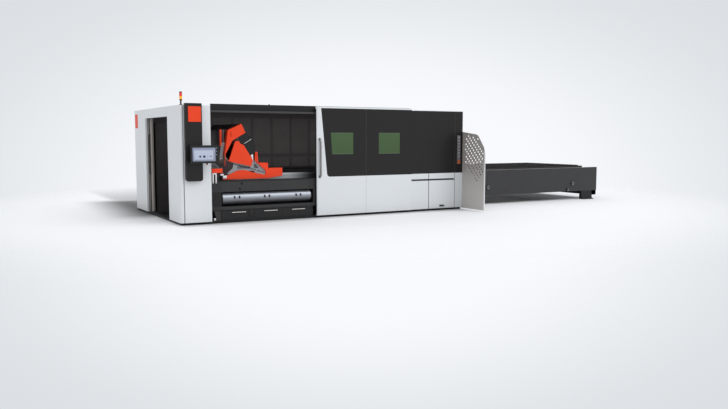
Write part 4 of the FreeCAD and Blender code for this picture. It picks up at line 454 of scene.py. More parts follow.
def arm_cover_paint():
    """The long cover of the gantry: orange at its two ends, and between them a dark red-brown that is painted
    shade of the orange.
    """
    finish = Finish(ior=1.3)
    drift = finish.noise(3.0, 4.0)
    # Painted shade: the cover's long middle is dark red-brown, the orange as it looks in shadow.
    middle = finish.within(0.5, y=(300, 3508))
    orange = finish.mix(drift, tinted(colours().accent, 0.9), colours().accent)
    dark = finish.mix(drift, *tones("2b2828", "383434"))
    finish.set(Base_Color=finish.mix(middle, orange, dark), Roughness=0.4 + drift * 0.1)
    finish.peel()
    return finish


def bed_paint():
    """Textured charcoal paint, with painted shade on the top lip, in the recess, towards both ends, near the
    floor and in place of two drilled holes.
    """
    finish = Finish(ior=1.33)
    grain = finish.noise(240.0, 4.0, 0.7)
    patch = finish.noise(2.5, 4.0)
    shade = finish.mix(patch * 0.6 + grain * 0.4, *shades_of(colours().bed, 0.8, 1.15))
    bed = finish.x < mark("x", BED_END)
    # Painted shade from here on: under the top lip, near the floor, in the recess behind the duct, two dark
    # spots for drilled holes, and both ends.
    lip = finish.within(2, x=(600, BED_END), z=(846, 880))
    base = bed * (1 - finish.past("z", 200, 300))
    recess = finish.within(2, x=(668, 2962), z=(338, 643))
    drilled = (finish.spot(1313, 804, 26) + finish.spot(1270, 697, 26)) * bed
    ends = (1 - finish.within(60, x=(880, 2840))) * bed
    dark = finish.greatest(ends * 0.25, lip * 0.6, drilled, base * 0.55, recess * 0.75)
    finish.set(Base_Color=finish.over(dark, shade, "121213"), Roughness=0.5 + grain * 0.2)
    finish.bump(grain, 0.25, 0.0008)
    return finish


def drawer_paint():
    """Dark satin faces of the drawers, with pale handle bars."""
    finish = Finish(ior=1.35)
    grain = finish.noise(200.0, 3.0)
    shade = finish.mix(grain, *tones("1b1b1c", "262627"))
    bar_face = (1 - finish.past("y", 61.5, 62.5)) * (finish.z > mark("z", 190))
    finish.set(Base_Color=finish.over(bar_face, shade, "e2dfda"), Roughness=0.42 + grain * 0.15)
    finish.bump(grain, 0.15, 0.0005)
    return finish


def table_paint():
    """Charcoal paint of the shuttle table: a painted highlight along the top edges, dark bearing covers and
    feet.
    """
    finish = Finish(ior=1.35)
    grain = finish.noise(200.0, 4.0, 0.7)
    patch = finish.noise(3.0, 4.0)
    shade = finish.mix(patch * 0.6 + grain * 0.4, *shades_of(colours().bed, 0.85, 1.25))
    # Painted highlight: the top edges are lighter, as where they catch the light.
    painted_edge_highlight = finish.past("z", 900, 908) * (0.35 + patch * 0.4)
    shade = finish.over(painted_edge_highlight, shade, "8b8a88")
    covers = sum((finish.spot(x, z, cover) for _, x, z, _, cover in BEARINGS), 0.0) * 0.8
    feet = (1 - finish.past("z", 236, 244)) * 0.95
    finish.set(Base_Color=finish.over(finish.greatest(covers, feet), shade, "161617"),
               Roughness=0.46 + grain * 0.2)
    finish.bump(grain, 0.2, 0.0007)
    return finish


def pallet_steel():
    """Mill scale and spatter on the pallets."""
    finish = Finish(metallic=0.3)
    scale = finish.noise(12.0, 5.0, 0.7)
    spatter = 1 - finish.cells(90.0).smooth(0.05, 0.2)
    shade = finish.mix(scale, *tones("242322", "454341"))
    finish.set(Base_Color=finish.over(spatter * 0.35, shade, "6a635c"), Roughness=0.5 + scale * 0.25)
    finish.bump(spatter + scale * 0.5, 0.25, 0.001)
    return finish


def black_frame():
    """Matte black paint on the plinth, the header and the hood."""
    return mottled(tones("171718", "222223"), (180.0, 3.0), (0.52, 0.16), bump=(0.15, 0.0006), ior=1.33)


def rail_paint():
    """Dark grey paint on the door rail, rubbed by the rollers."""
    return mottled(tones("2b2b2c", "47474a"), (1.0, 3.0, 0.6), (0.38, 0.2),
                   bump=(0.1, 0.0003), stretch=(3.0, 120.0, 120.0), ior=1.4)


def drawn_steel(code, stretch):
    """Bare steel with drawn lines along one axis."""
    finish = Finish(metallic=1.0)
    lines = finish.drawn(*stretch)
    stain = finish.noise(5.0, 4.0)
    tint = paint_colour(code)
    finish.set(Base_Color=finish.mix(lines * 0.6 + stain * 0.4, *shades_of(tint, 0.72, 1.12)),
               Roughness=0.24 + lines * 0.16 + stain * 0.1)
    finish.bump(lines, 0.12, 0.0003)
    return finish


def brushed_steel():
    """Bare steel of the pallet rails."""
    return drawn_steel("b9bbbd", (4.0, 260.0, 260.0))


def handle_steel():
    """Steel of the upright handles and of the cutting head."""
    return drawn_steel("8c8a88", (260.0, 260.0, 4.0))


def duct_steel():
    """Rolled steel of the exhaust duct, with painted shade towards its underside, and dark inside its bore and
    slots.
    """
    finish = Finish()
    lines = finish.drawn(4.0, 260.0, 260.0)
    stain = finish.noise(5.0, 4.0)
    steel = finish.mix(lines * 0.5 + stain * 0.5, *tones("a4a9b2", "c2c7d0"))
    # Painted shade: the duct grows darker towards its underside.
    painted_underside_shade = 1 - finish.past("z", 400, 612)
    shade = finish.over(painted_underside_shade * (0.75 + stain * 0.25), steel, "555457")
    depth = ((finish.y - mark("y", DUCT_Y)) ** 2 + (finish.z - mark("z", DUCT_Z)) ** 2) ** 0.5
    bore = 1 - depth.smooth(0.1185, 0.1212)
    slots = sum((finish.within(4, x=(x + side - 5, x + side + 27), z=(496, 552))
                 for x in DUCT_SLOTS for side in (0, 106)), 0.0)
    bore = finish.greatest(bore, slots * (finish.y < mark("y", DUCT_Y)))
    finish.set(Base_Color=finish.over(bore, shade, "0d0d0e"), Metallic=0.75 - bore * 0.7,
               Roughness=0.3 + lines * 0.14 + painted_underside_shade * 0.2)
    finish.bump(lines, 0.12, 0.0003)
    return finish


def way_steel():
    """Ground steel of the ways, with painted shadow away from the gantry."""
    finish = Finish(metallic=0.5)
    lines = finish.drawn(3.0, 240.0, 240.0)
    # Painted shadow: the ways are dark beyond the gantry's reach.
    painted_rail_shadow = 1 - finish.within(280, x=(1150, 2650))
    steel = finish.mix(lines, *tones("8e9093", "b4b6b9"))
    finish.set(Base_Color=finish.over(painted_rail_shadow * 0.9, steel, "2f3031"), Roughness=0.3 + lines * 0.2)
    finish.bump(lines, 0.1, 0.0003)
    return finish


def door_leaf_paint():
    """Warm grey anodised leaves of the side door."""
    return mottled((tinted(colours().leaf, 0.85), colours().leaf), (1.0, 2.0),
                   (0.36, 0.12), bump=(0.08, 0.0003), stretch=(300.0, 300.0, 3.0), metallic=0.3)


def window_glass():
    """Green laser safety glass with a clear face, a painted sheen that is lighter towards the top, and a lighter
    ground edge.
    """
    finish = Finish(coat=0.1, coat_roughness=0.03, ior=1.3)
    low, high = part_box("front_door_windows")
    cloud = finish.noise(5.0, 2.0)
    # Painted light: the glass is lighter towards its top.
    shade = finish.mix(finish.z.smooth(low.z, high.z) * 0.7 + cloud * 0.3,
                       *shades_of(colours().window, 0.94, 1.08))
    inner = finish.z.smooth(low.z + 0.007, low.z + 0.011) * (1 - finish.z.smooth(high.z - 0.011, high.z - 0.007))
    finish.set(Base_Color=finish.over((1 - inner) * 0.35, shade, "7d8f76"), Roughness=0.08 + cloud * 0.05)
    return finish


def cast_primer():
    """Primer over a sand cast skin, with painted shade behind the face, and dark along a toothed rib."""
    finish = Finish()
    sand = finish.noise(170.0, 5.0, 0.7)
    patch = finish.noise(9.0, 4.0)
    shade = finish.mix(patch * 0.7 + sand * 0.3, *shades_of(colours().casting, 0.8, 1.1))
    # Painted shade on the casting's faces behind its front face.
    behind_face_shade = finish.within(2, y=(216, 440))
    slope = (RIB_END[1] - RIB_START[1]) / (RIB_END[0] - RIB_START[0])
    line = (finish.x - mark("x", RIB_START[0])) * slope + mark("z", RIB_START[1])
    teeth = abs(finish.maths("FRACT", finish.x / 0.07) - 0.5) * 0.05
    near = 1 - abs(finish.z - line - teeth).smooth(0.008, 0.014)
    rib = near * finish.within(10, x=(RIB_START[0], RIB_END[0]))
    finish.set(Base_Color=finish.over(finish.greatest(behind_face_shade * 0.4, rib * 0.9), shade, "28282a"),
               Roughness=0.52 + sand * 0.2)
    finish.bump(sand, 0.3, 0.0012)
    return finish


def fence_paint():
    """Warm grey powder coat on the perforated sheet, with painted light: paler towards the floor and a painted
    highlight on its folded edge.
    """
    finish = Finish(metallic=0.1)
    drift = finish.noise(5.0, 4.0)
    shade = finish.mix(drift, tinted(colours().fence, 0.93), colours().fence)
    # Painted light: the sheet is paler towards the floor.
    low = 1 - finish.past("z", 100, 1600)
    shade = finish.over(low * 0.7, shade, "cac7c4")
    # Painted highlight on the folded edge.
    painted_fold_shading = 1 - finish.past("y", -806, -796)
    finish.set(Base_Color=finish.over(painted_fold_shading * 0.8, shade, "dddee2"), Roughness=0.44 + drift * 0.12)
    finish.peel()
    return finish


def moulded_plastic():
    """Moulded black plastic."""
    return mottled(tones("131314", "1e1e20"), (900.0, 2.0), (0.4, 0.12), bump=(0.12, 0.0002), ior=1.38)


def lens(code):
    """A ribbed lamp lens that glows a little."""
    finish = Finish(roughness=0.15, coat=0.5, coat_roughness=0.04)
    ribs = finish.maths("SINE", finish.z * 1400.0) * 0.5 + 0.5
    tint = paint_colour(code)
    colour = finish.mix(ribs, tinted(tint, 0.75), tint)
    finish.set(Base_Color=colour, Emission_Color=colour, Emission_Strength=0.25)
    finish.bump(ribs, 0.25, 0.0008)
    return finish


def amber_lens():
    """The amber lamp of the tower."""
    return lens("f4a81c")


def red_lens():
    """The red lamp of the tower."""
    return lens("d8281c")


def stop_plastic():
    """Brownish orange plastic of the stop buttons."""
    return mottled(tones("9c4a2a", "b65c38"), (300.0, 2.0), (0.34, 0.1), coat=0.1, ior=1.35)


def strip_paint():
    """The control strip, dark grey with pale lamps."""
    finish = Finish(coat=0.1, ior=1.35)
    grain = finish.noise(200.0, 3.0)
    shade = finish.mix(grain, *tones("5a5a5d", "69696c"))
    lamps = (1 - finish.past("y", 14.5, 15.6)) * (finish.z > mark("z", 1225))
    finish.set(Base_Color=finish.over(lamps, shade, "a9a9ad"), Roughness=0.36 + grain * 0.1)
    finish.peel()
    return finish


def touch_screen():
    """The lit picture of the touch screen: a head line, a work area and a row of tokens."""
    finish = Finish(roughness=0.12, coat=0.2, coat_roughness=0.05, ior=1.35)
    rise = finish.past("z", 1293, 1561)
    picture = finish.mix(rise, tinted(colours().screen, 0.8), colours().screen)
    picture = finish.over(finish.within(x=(181, 641), z=(1527, 1561)) * 0.6, picture, "767f97")
    picture = finish.over(finish.within(x=(214, 596), z=(1326, 1508)) * 0.6, picture, "b8c0d4")
    for x, z, radius in ((330, 1386, 21), (412, 1386, 26), (545, 1388, 13)):
        picture = finish.over(finish.spot(x, z, radius), picture, "2b3557")
    picture = finish.over(finish.within(x=(478, 482), z=(1352, 1424)), picture, "3d4668")
    finish.set(Base_Color=picture, Emission_Color=picture, Emission_Strength=0.12)
    return finish


def finish_machine():
    """Every CAD node gets its finish."""
    dress(cover_paint, "column_cover", "left_side_wall", "rear_wall", "roof", "right_lower_panel",
          "right_end_wall", "front_door_frame", "service_flap")
    dress(inside_paint, "front_wall", "electrical_cabinet", "laser_source", "side_door_rail", "shuttle_gate",
          "bed_cross_bars")
    dress(beam_primer, "gantry_beam")
    dress(panel_gloss, "right_upper_panel", "front_door_panel", "console_housing")
    dress(accent_paint, "gantry_end_shields", "gantry_skirt", "accent_plates")
    dress(arm_cover_paint, "gantry_arm_cover")
    dress(bed_paint, "bed_front_beam", "bed_rear_beam", "bed_feet", "drawer_housing")
    dress(drawer_paint, "drawer_left", "drawer_middle", "drawer_right")
    dress(table_paint, "table_side_front", "table_side_rear", "table_cross_members", "table_feet")
    dress(pallet_steel, "upper_pallet", "lower_pallet")
    dress(black_frame, "plinth", "header_beam", "gantry_hood", "y_carriage")
    dress(rail_paint, "door_rail")
    dress(duct_steel, "exhaust_duct")
    dress(way_steel, "x_rails")
    dress(brushed_steel, "pallet_rails")
    dress(handle_steel, "front_door_handle", "side_door_handle", "cutting_head")
    dress(door_leaf_paint, "side_door_lead", "side_door_trail")
    dress(window_glass, "front_door_windows")
    dress(cast_primer, "gantry_castings")
    dress(fence_paint, "light_fence")
    dress(moulded_plastic, "screen_housing", "screen_arm", "tower_stem")
    dress(touch_screen, "screen_display")
    dress(stop_plastic, "screen_stop_button", "strip_stop_plate")
    dress(strip_paint, "button_strip")
    dress(amber_lens, "tower_amber_lamp")
    dress(red_lens, "tower_red_lamp")


# ---- finishes of the fittings
def pale_metal():
    """Pale painted metal of strips and brackets."""
    return mottled(tones("cfd0d2", "e6e7e8"), (60.0, 3.0), (0.34, 0.12), peel=0.08, metallic=0.2)


def bolt_steel():
    """Zinc plated steel of bolts and nuts."""
    return mottled(tones("8f9192", "b9bbbc"), (90.0, 4.0), (0.28, 0.2), bump=(0.1, 0.0003), metallic=0.9)


def chain_plastic():
    """Grey links of the cable chain, scuffed."""
    return mottled(tones("8e9093", "c2c4c7"), (80.0, 4.0), (0.42, 0.2), bump=(0.2, 0.0006))


def bracket_paint():
    """Dark brownish red of the plates behind the skirt: painted shade, the orange of the covers as it looks in
    shadow.
    """
    return mottled(tones("241a1b", "3a2526"), (20.0, 4.0), (0.44, 0.15), peel=0.1, ior=1.35)


def rubber():
    """Matte black rubber of seals and feet."""
    return mottled(tones("111112", "1d1d1e"), (500.0, 2.0), (0.74, 0.16), bump=(0.15, 0.0003), ior=1.3)


def key_face():
    """Lit grey faces of the soft keys."""
    finish = Finish(roughness=0.3, ior=1.35)
    colour = finish.mix(finish.noise(400.0, 2.0), *tones("8d92a6", "a9aec0"))
    finish.set(Base_Color=colour, Emission_Color=colour, Emission_Strength=0.08)
    return finish


SLOTS = {pale_metal: "bare_steel", bolt_steel: "bare_steel", handle_steel: "bare_steel",
         chain_plastic: "black_plastic", rubber: "black_plastic", key_face: "display_glass",
         accent_paint: "accent_orange", bracket_paint: "frame_black", cover_paint: "cover_white",
         inside_paint: "inner_dark"}


# ---- modelling by hand
def fresh():
    """Leave edit mode and let go of everything."""
    if bpy.context.mode != "OBJECT":
        bpy.ops.object.mode_set(mode="OBJECT")
    bpy.ops.object.select_all(action="DESELECT")


def settle(name, make, body="machine", slot=None):
    """Fix the active piece's place in its mesh, name it, paint it and let it ride on its body."""
    bpy.ops.object.transform_apply(location=True, rotation=True, scale=True)
    piece = bpy.context.object
    piece.name = name
    piece.data.name = name
    piece.data.materials.clear()
    piece.data.materials.append(coat(make))
    slot = slot or SLOTS[make]
    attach(piece, body)
    piece.select_set(False)


def soften(width):
    """Bevel the active piece's edges with a modifier, and apply it."""
    piece = bpy.context.object
    bevel = piece.modifiers.new("edges", "BEVEL")
    bevel.width = width
    bevel.segments = 2
    bevel.limit_method = "ANGLE"
    bevel.angle_limit = radians(40)
    bpy.ops.object.modifier_apply(modifier=bevel.name)
    bpy.ops.object.shade_smooth_by_angle(angle=radians(35))


def trimmed_block(low, high, cuts=(), edge=None):
    """A block cut to shape by planes, each a point and the direction that is cut away."""
    fresh()
    bpy.ops.mesh.primitive_cube_add(size=1.0, location=(low + high) / 2)
    bpy.ops.object.mode_set(mode="EDIT")
    bpy.ops.mesh.select_all(action="SELECT")
    bpy.ops.transform.resize(value=tuple(high - low))
    for point, away in cuts:
        bpy.ops.mesh.select_all(action="SELECT")
        bpy.ops.mesh.bisect(plane_co=tuple(point), plane_no=tuple(away), use_fill=True, clear_outer=True)
    bpy.ops.mesh.select_all(action="SELECT")
    bpy.ops.mesh.normals_make_consistent(inside=False)
    bpy.ops.object.mode_set(mode="OBJECT")
    soften(edge or sizes().edge)


def edge_cut(start, end):
    """A cut along a line in the (X, Z) view; what is on its left goes."""
    run = Vector((end[0] - start[0], end[1] - start[1]))
    return at(start[0], 0, start[1]), Vector((-run.y, 0, run.x)).normalized()


def profile_plate(corners, y, edge=None):
    """A plate with straight sides, its corners given clockwise in the (X, Z) view, in millimetres."""
    xs = [corner[0] for corner in corners]
    zs = [corner[1] for corner in corners]
    cuts = [edge_cut(corners[i - 1], corners[i]) for i in range(len(corners))]
    trimmed_block(at(min(xs) - 1, y[0], min(zs) - 1), at(max(xs) + 1, y[1], max(zs) + 1), cuts, edge)


def bar(x, y, z, edge=None):
    """A plain bar between two places on each axis, in millimetres."""
    trimmed_block(at(x[0], y[0], z[0]), at(x[1], y[1], z[1]), (), edge)


WAYS = {"-y": (Vector((0, -1, 0)), (pi / 2, 0, 0)), "y": (Vector((0, 1, 0)), (-pi / 2, 0, 0)),
        "z": (Vector((0, 0, 1)), (0, 0, 0))}


def push(way, length, share):
    """Push the selected face out, and make its end smaller or larger by a share."""
    bpy.ops.mesh.extrude_region_move(TRANSFORM_OT_translate={"value": tuple(way * length)})
    if share != 1.0:
        mesh = bpy.context.object.data
        bpy.context.object.update_from_editmode()
        ends = [mesh.vertices[i].co for face in mesh.polygons if face.select for i in face.vertices]
        middle = bpy.context.object.matrix_world @ (sum(ends, Vector()) / len(ends))
        bpy.ops.transform.resize(value=(share, share, share), center_override=tuple(middle))


def turned(place, way, steps, sides=24, edge=None):
    """A round piece: steps are lengths and radii in millimetres, from the place along the way."""
    fresh()
    direction, turn = WAYS[way]
    radius = steps[0][1]
    bpy.ops.mesh.primitive_circle_add(vertices=sides, radius=radius * MILLIMETRE, fill_type="NGON",
                                      location=place, rotation=turn)
    bpy.ops.object.mode_set(mode="EDIT")
    bpy.ops.mesh.select_all(action="SELECT")
    for length, next_radius in steps:
        push(direction, length * MILLIMETRE, next_radius / radius)
        radius = next_radius
    bpy.ops.mesh.select_all(action="SELECT")
    bpy.ops.mesh.normals_make_consistent(inside=False)
    bpy.ops.object.mode_set(mode="OBJECT")
    if edge:
        soften(edge)


def row(steps):
    """Copies of the active piece, each moved by a step in millimetres, joined with it."""
    first = bpy.context.object
    everything = [first]
    for step in steps:
        fresh()
        first.select_set(True)
        bpy.context.view_layer.objects.active = first
        bpy.ops.object.duplicate(linked=False)
        bpy.ops.transform.translate(value=tuple(Vector(step) * MILLIMETRE))
        everything.append(bpy.context.object)
    fresh()
    for piece in everything:
        piece.select_set(True)
    bpy.context.view_layer.objects.active = first
    bpy.ops.object.join()


def bolt_heads(places, way, radius, height):
    """Hexagon heads on washers, at places in millimetres."""
    washer, head = (height * 0.25, radius * 1.45), (height * 0.75, radius * 0.96)
    turned(at(*places[0]), way, (washer, (0.001, radius), head), 6)
    first = Vector(places[0])
    row([Vector(place) - first for place in places[1:]])


# ---- pieces
def gantry_trim():
    """Light strips, plates, the cable guard and the chain on the gantry's near end."""
    hood = (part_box("gantry_hood")[0].y - FRONT_LEFT.y) / MILLIMETRE
    profile_plate([(1426, 1636), (1578, 1731), (1582, 1724), (1430, 1629)], (hood - 4, hood), 0.0008)
    settle("hood_line", pale_metal, "gantry")
    profile_plate([(1546, 1372), (1616, 1416), (1622, 1262), (1611, 1287)], (hood + 4, hood + 26))
    settle("hood_gusset", pale_metal, "gantry")
    # Painted shade: the dark casting and tail covers stand over the casting's left edge where there is shade.
    profile_plate([(951, 1034), (954, 1247), (1196, 1229), (1168, 1121), (1063, 1032)], (204, CASTING_FACE))
    settle("casting_cover", bracket_paint, "gantry")
    profile_plate([(951, 984), (951, 1036), (1068, 1036), (1050, 984)], (204, CASTING_FACE))
    settle("tail_cover", bracket_paint, "gantry")
    profile_plate([(996, 1180), (1010, 1400), (1021, 1400), (1006, 1180)], (198, 204))
    settle("cover_stay", accent_paint, "gantry")
    # Painted shade: the guard's dark body stands where the back of the arm cover lies in shadow.
    profile_plate([(918, 1583), (918, 1925), (1078, 1925), (1026.5, 1583)], (312, 560))
    settle("guard_body", bracket_paint, "gantry")
    bar((936, 976), (300, 312), (1583, 1930))
    settle("guard_face", accent_paint, "gantry")
    turned(at(1011, 306, 1590), "z", ((328, 7),), 16, 0.001)
    settle("guard_pipe", bolt_steel, "gantry")
    bar((930, 1030), (174, 182), (915, 975))
    settle("skirt_plate", pale_metal, "gantry")
    cable_chain()
    bolt_heads([(x, CASTING_FACE, z) for x, z in CASTING_BOLTS], "-y", sizes().bolt / MILLIMETRE, 6)
    settle("casting_bolts", bolt_steel, "gantry")
    bolt_heads([(x, SHIELD_FACE, z) for x, z in SHIELD_BOLTS], "-y", 6, 4)
    settle("shield_bolts", accent_paint, "gantry")


def cable_chain():
    """Links that hang from the guard along the back of the arm cover."""
    right, low, lean = 985, 1310, 0.151
    link, pitch, links = 38, 44, 8
    length = links * pitch - 6
    bar((right - 58, right), (292, 364), (low, low + link), 0.004)
    bpy.ops.object.mode_set(mode="EDIT")
    bpy.ops.mesh.select_all(action="DESELECT")
    bpy.ops.object.mode_set(mode="OBJECT")
    for face in bpy.context.object.data.polygons:
        face.select = face.normal.y < -0.9
    bpy.ops.object.mode_set(mode="EDIT")
    bpy.ops.mesh.inset(thickness=0.008, depth=-0.006)
    bpy.ops.object.mode_set(mode="OBJECT")
    row([(lean * pitch * number, 0, pitch * number) for number in range(1, links)])
    settle("cable_chain", chain_plastic, "gantry")
    profile_plate([(right - 34, low + 2), (right - 34 + lean * length, low + 2 + length),
                   (right - 24 + lean * length, low + 2 + length), (right - 24, low + 2)], (296, 360))
    settle("cable_chain_core", rubber, "gantry")


def opening_parts():
    """The bracket with its orange strip, the end stop and the small plates at the left of the opening."""
    bar((687, 712), (BRACKET_FACE, 60), (826, 1010))
    row([(62, 0, 0)])
    settle("strip_bracket", pale_metal)
    bar((685, 776), (BRACKET_FACE, 60), (1008, 1037))
    settle("strip_bracket_head", pale_metal)
    bar((685, 775), (60, 66), (880, 1037))
    settle("bracket_back", bracket_paint)
    bar((679, 905), (62, 170), (1036, 1126), 0.004)
    settle("guide_strip", accent_paint)
    bolt_heads([(x, BRACKET_FACE, z) for z in (846, 1022) for x in (700, 762)], "-y", 7, 5)
    settle("bracket_bolts", bolt_steel)
    bar((888, 958), (156, 173), (977, 1011), 0.002)
    settle("end_stop", pale_metal)
    bar((902, 944), (160, 172), (874, 977), 0.002)
    settle("end_stop_foot", rubber)
    # Painted shade: a dark mat on the cabin's floor keeps the floor seen through the doorway dark.
    bar((170, 668), (70, 2755), (0, 3), 0.001)
    settle("aisle_floor", rubber, slot="inner_dark")
    bar((713, 753), (86, 92), (60, 106))
    settle("corner_plate", pale_metal)
    turned(at(1965, 106, 2444), "z", ((4, 9), (0.001, 16), (9, 16), (3, 11)))
    settle("header_knob", rubber)
    bar((2300, 2940), (222, 430), (1000, 1006), 0.002)
    settle("way_cover", inside_paint)


def table_parts():
    """Nuts and shaft ends on the bearing covers, and anchors in the feet."""
    for name, x, z, nut, _ in BEARINGS:
        turned(at(x, BEARING_FACE + 9, z), "-y", ((3, nut), (9, nut), (1, nut * 0.86), (-5, nut * 0.45)), 6)
        settle("bearing_nut_" + name, bolt_steel)
        turned(at(x, BEARING_FACE, z), "-y", ((4, nut * 0.62), (2, nut * 0.5)))
        settle("shaft_end_" + name, rubber)
    feet = [(x, y, 16) for x in (7165, 7485, 11775, 12095) for y in (534, 3274)]
    bolt_heads(feet, "z", 13, 12)
    settle("anchor_bolts", bolt_steel)


def screen_keys():
    """Three round soft keys on the right border of the screen."""
    radius = sizes().key / MILLIMETRE
    turned(at(664, SCREEN_FACE, 1551), "-y", ((2, radius), (1, radius * 0.8)))
    row([(0, 0, -61), (0, 0, -131)])
    settle("soft_keys", key_face, "screen")


def louvre_panel(name, x):
    """A pressed louvre panel on the rear wall: a frame and slanted blades from an array."""
    width, height, low = 420, 560, 420
    plate, blade, gap, side, end, proud = 3, 26, 12, 26, 30, 12
    bar((x, x + width), (REAR_FACE, REAR_FACE + plate), (low, low + height), 0.002)
    settle(name + "_plate", cover_paint)
    back, first_top = REAR_FACE + plate, low + end + blade
    slant = (at(0, back, first_top), Vector((0, blade, proud)).normalized())
    trimmed_block(at(x + side, back, low + end), at(x + width - side, back + proud, first_top), [slant], 0.0008)
    array = bpy.context.object.modifiers.new("blades", "ARRAY")
    array.count = (height - 2 * end) // (blade + gap)
    array.use_relative_offset = False
    array.use_constant_offset = True
    array.constant_offset_displace = (0, 0, (blade + gap) * MILLIMETRE)
    bpy.ops.object.modifier_apply(modifier=array.name)
    settle(name + "_blades", cover_paint)


def rear_parts():
    """Louvres and screws on the rear wall, lifting eyes on the roof's lids."""
    for number, x in enumerate((760, 1860, 5150, 6250)):
        louvre_panel("rear_louvre_%d" % (number + 1), x)
    turned(at(1100, 1300, LID_TOP), "z", ((6, 30), (0.001, 16), (18, 16), (10, 26), (8, 26), (8, 15)))
    row([(2400, 0, 0), (4800, 0, 0), (0, 2000, 0), (2400, 2000, 0), (4800, 2000, 0)])
    settle("lifting_eyes", bolt_steel)
    screws = [(x, REAR_FACE, z) for x in (200, 2400, 4600, 6900) for z in (140, 1200, 2260)]
    bolt_heads(screws, "y", 7, 4)
    settle("rear_screws", bolt_steel)


def door_parts():
    """Rosettes of the front door's handle and rubber seals on the door's foot and edge."""
    turned(at(3093, -1, 905), "-y", ((3, 27), (2, 24)), 32)
    row([(0, 0, 812)])
    settle("handle_rosettes", handle_steel, "front_door")
    bar((3022, 5500), (8, 40), (44, 50), 0.002)
    settle("door_foot_seal", rubber, "front_door")
    bar((3014, 3018), (10, 40), (70, 2380), 0.001)
    settle("door_edge_seal", rubber, "front_door")


# ---- studio
CAMERA_PLACE = at(-3988.2, -14284.1, 1763.2)
CAMERA_TILT = 0.0923
CAMERA_TURN = 0.5212
PICTURE_WIDTH = 728
LENS_PIXELS = 725.26
SENSOR_WIDTH = 36.0
GLOW_HALF_WIDTH = 0.443
GLOW_HALF_HEIGHT = 0.266
FLOOR_MIDDLE = at(5400, 2600, 0)
FLOOR_HALF_WIDTH = 12.0
FLOOR_HALF_DEPTH = 11.0
KEY_LAMP_TURN = (radians(52), 0, radians(38))
KEY_LAMP_SPREAD = radians(50)
DOORWAY_SHARE = 0.3


def look(turn, tilt):
    """The direction that is turned clockwise from the back and tilted down."""
    return Vector((sin(turn) * cos(tilt), cos(turn) * cos(tilt), -sin(tilt)))


def distance(across, deep):
    """How far two signals lead from their middle."""
    return (across ** 2 + deep ** 2) ** 0.5


def backdrop():
    """Light from all round; the backdrop itself is bright in its middle and fades to its rim."""
    settings = bpy.context.scene.cutter_stage
    world = bpy.data.worlds.new("studio_air")
    bpy.context.scene.world = world
    world.use_nodes = True
    air = Nodes(world.node_tree, "Generated")
    ahead = look(CAMERA_TURN, CAMERA_TILT)
    sideways = look(CAMERA_TURN + pi / 2, 0.0)
    away = distance(air.along(sideways) / GLOW_HALF_WIDTH,
                    air.along(sideways.cross(ahead)) / GLOW_HALF_HEIGHT)
    seen = air.mix(away.smooth(0.5, 1.35), settings.glow, settings.rim)
    light = air.tree.nodes["Background"]
    air.feed(light.inputs["Color"], (1.0, 1.0, 1.0))
    light.inputs["Strength"].default_value = settings.ambient
    screen = air.add("ShaderNodeBackground", {}, {"Color": seen, "Strength": 1.0})
    rays = air.add("ShaderNodeLightPath", {}, {})
    direct, mirror, through = (Signal(air, rays.outputs[name])
                               for name in ("Is Camera Ray", "Is Glossy Ray", "Is Transmission Ray"))
    share = air.maths("MINIMUM", direct + mirror + through, 1.0)
    air.blend(share, light, screen, "World Output")


def studio_floor():
    """A pale floor that fades into the backdrop, with painted shadow close to the machine and under its table.
    """
    glow = bpy.context.scene.cutter_stage.glow
    fresh()
    bpy.ops.mesh.primitive_plane_add(size=120.0, location=(0, 0, 0))
    floor = bpy.context.object
    floor.name = "studio_floor"
    finish = Finish(roughness=0.9, ior=1.2)
    finish.material.name = floor.name
    away = distance((finish.x - FLOOR_MIDDLE.x) / FLOOR_HALF_WIDTH,
                    (finish.y - FLOOR_MIDDLE.y) / FLOOR_HALF_DEPTH)
    clean = finish.mix(finish.noise(0.8, 2.0), *shades_of(glow, 0.94, 0.955))
    # Painted shadow on the floor: beside and behind the cabin's left wall, before its front and under the table.
    beside = (finish.past("x", -1200, 300) * (1 - finish.past("x", -200, 2600))
              * finish.within(600, y=(2000, 6700)))
    below = finish.within(300, x=(7400, 12100), y=(850, 3100))
    before = finish.past("y", -420, 60) * finish.within(200, x=(0, 7000))
    painted_floor_shadow = finish.greatest(beside * 0.95, before * 0.5, below * 0.8)
    finish.set(Base_Color=finish.over(painted_floor_shadow, clean, "3f3d3d"))
    nothing = finish.add("ShaderNodeBsdfTransparent", {}, {})
    finish.blend(away.smooth(0.45, 1.0), finish.shader, nothing, "Material Output")
    floor.data.materials.append(finish.material)


def lamp(kind, name, energy, place, turn):
    """A lamp of the studio."""
    bpy.ops.object.light_add(type=kind, location=place, rotation=turn)
    light = bpy.context.object
    light.name = name
    light.data.energy = energy
    return light


def cabin_lamp(name, energy, place, turn, sides):
    """A lamp inside the cabin that neither the camera nor a reflection shows."""
    light = lamp("AREA", name, energy, place, turn)
    light.data.shape = "RECTANGLE"
    light.data.size, light.data.size_y = sides
    light.visible_camera = False
    light.visible_glossy = False


def studio_camera():
    """A camera at standing height that sees what the photograph shows."""
    bpy.ops.object.camera_add(location=CAMERA_PLACE, rotation=(pi / 2 - CAMERA_TILT, 0, -CAMERA_TURN))
    camera = bpy.context.object
    camera.name = "studio_camera"
    camera.data.sensor_width = SENSOR_WIDTH
    camera.data.lens = LENS_PIXELS / PICTURE_WIDTH * SENSOR_WIDTH
    camera.data.clip_end = 600.0
    bpy.context.scene.camera = camera


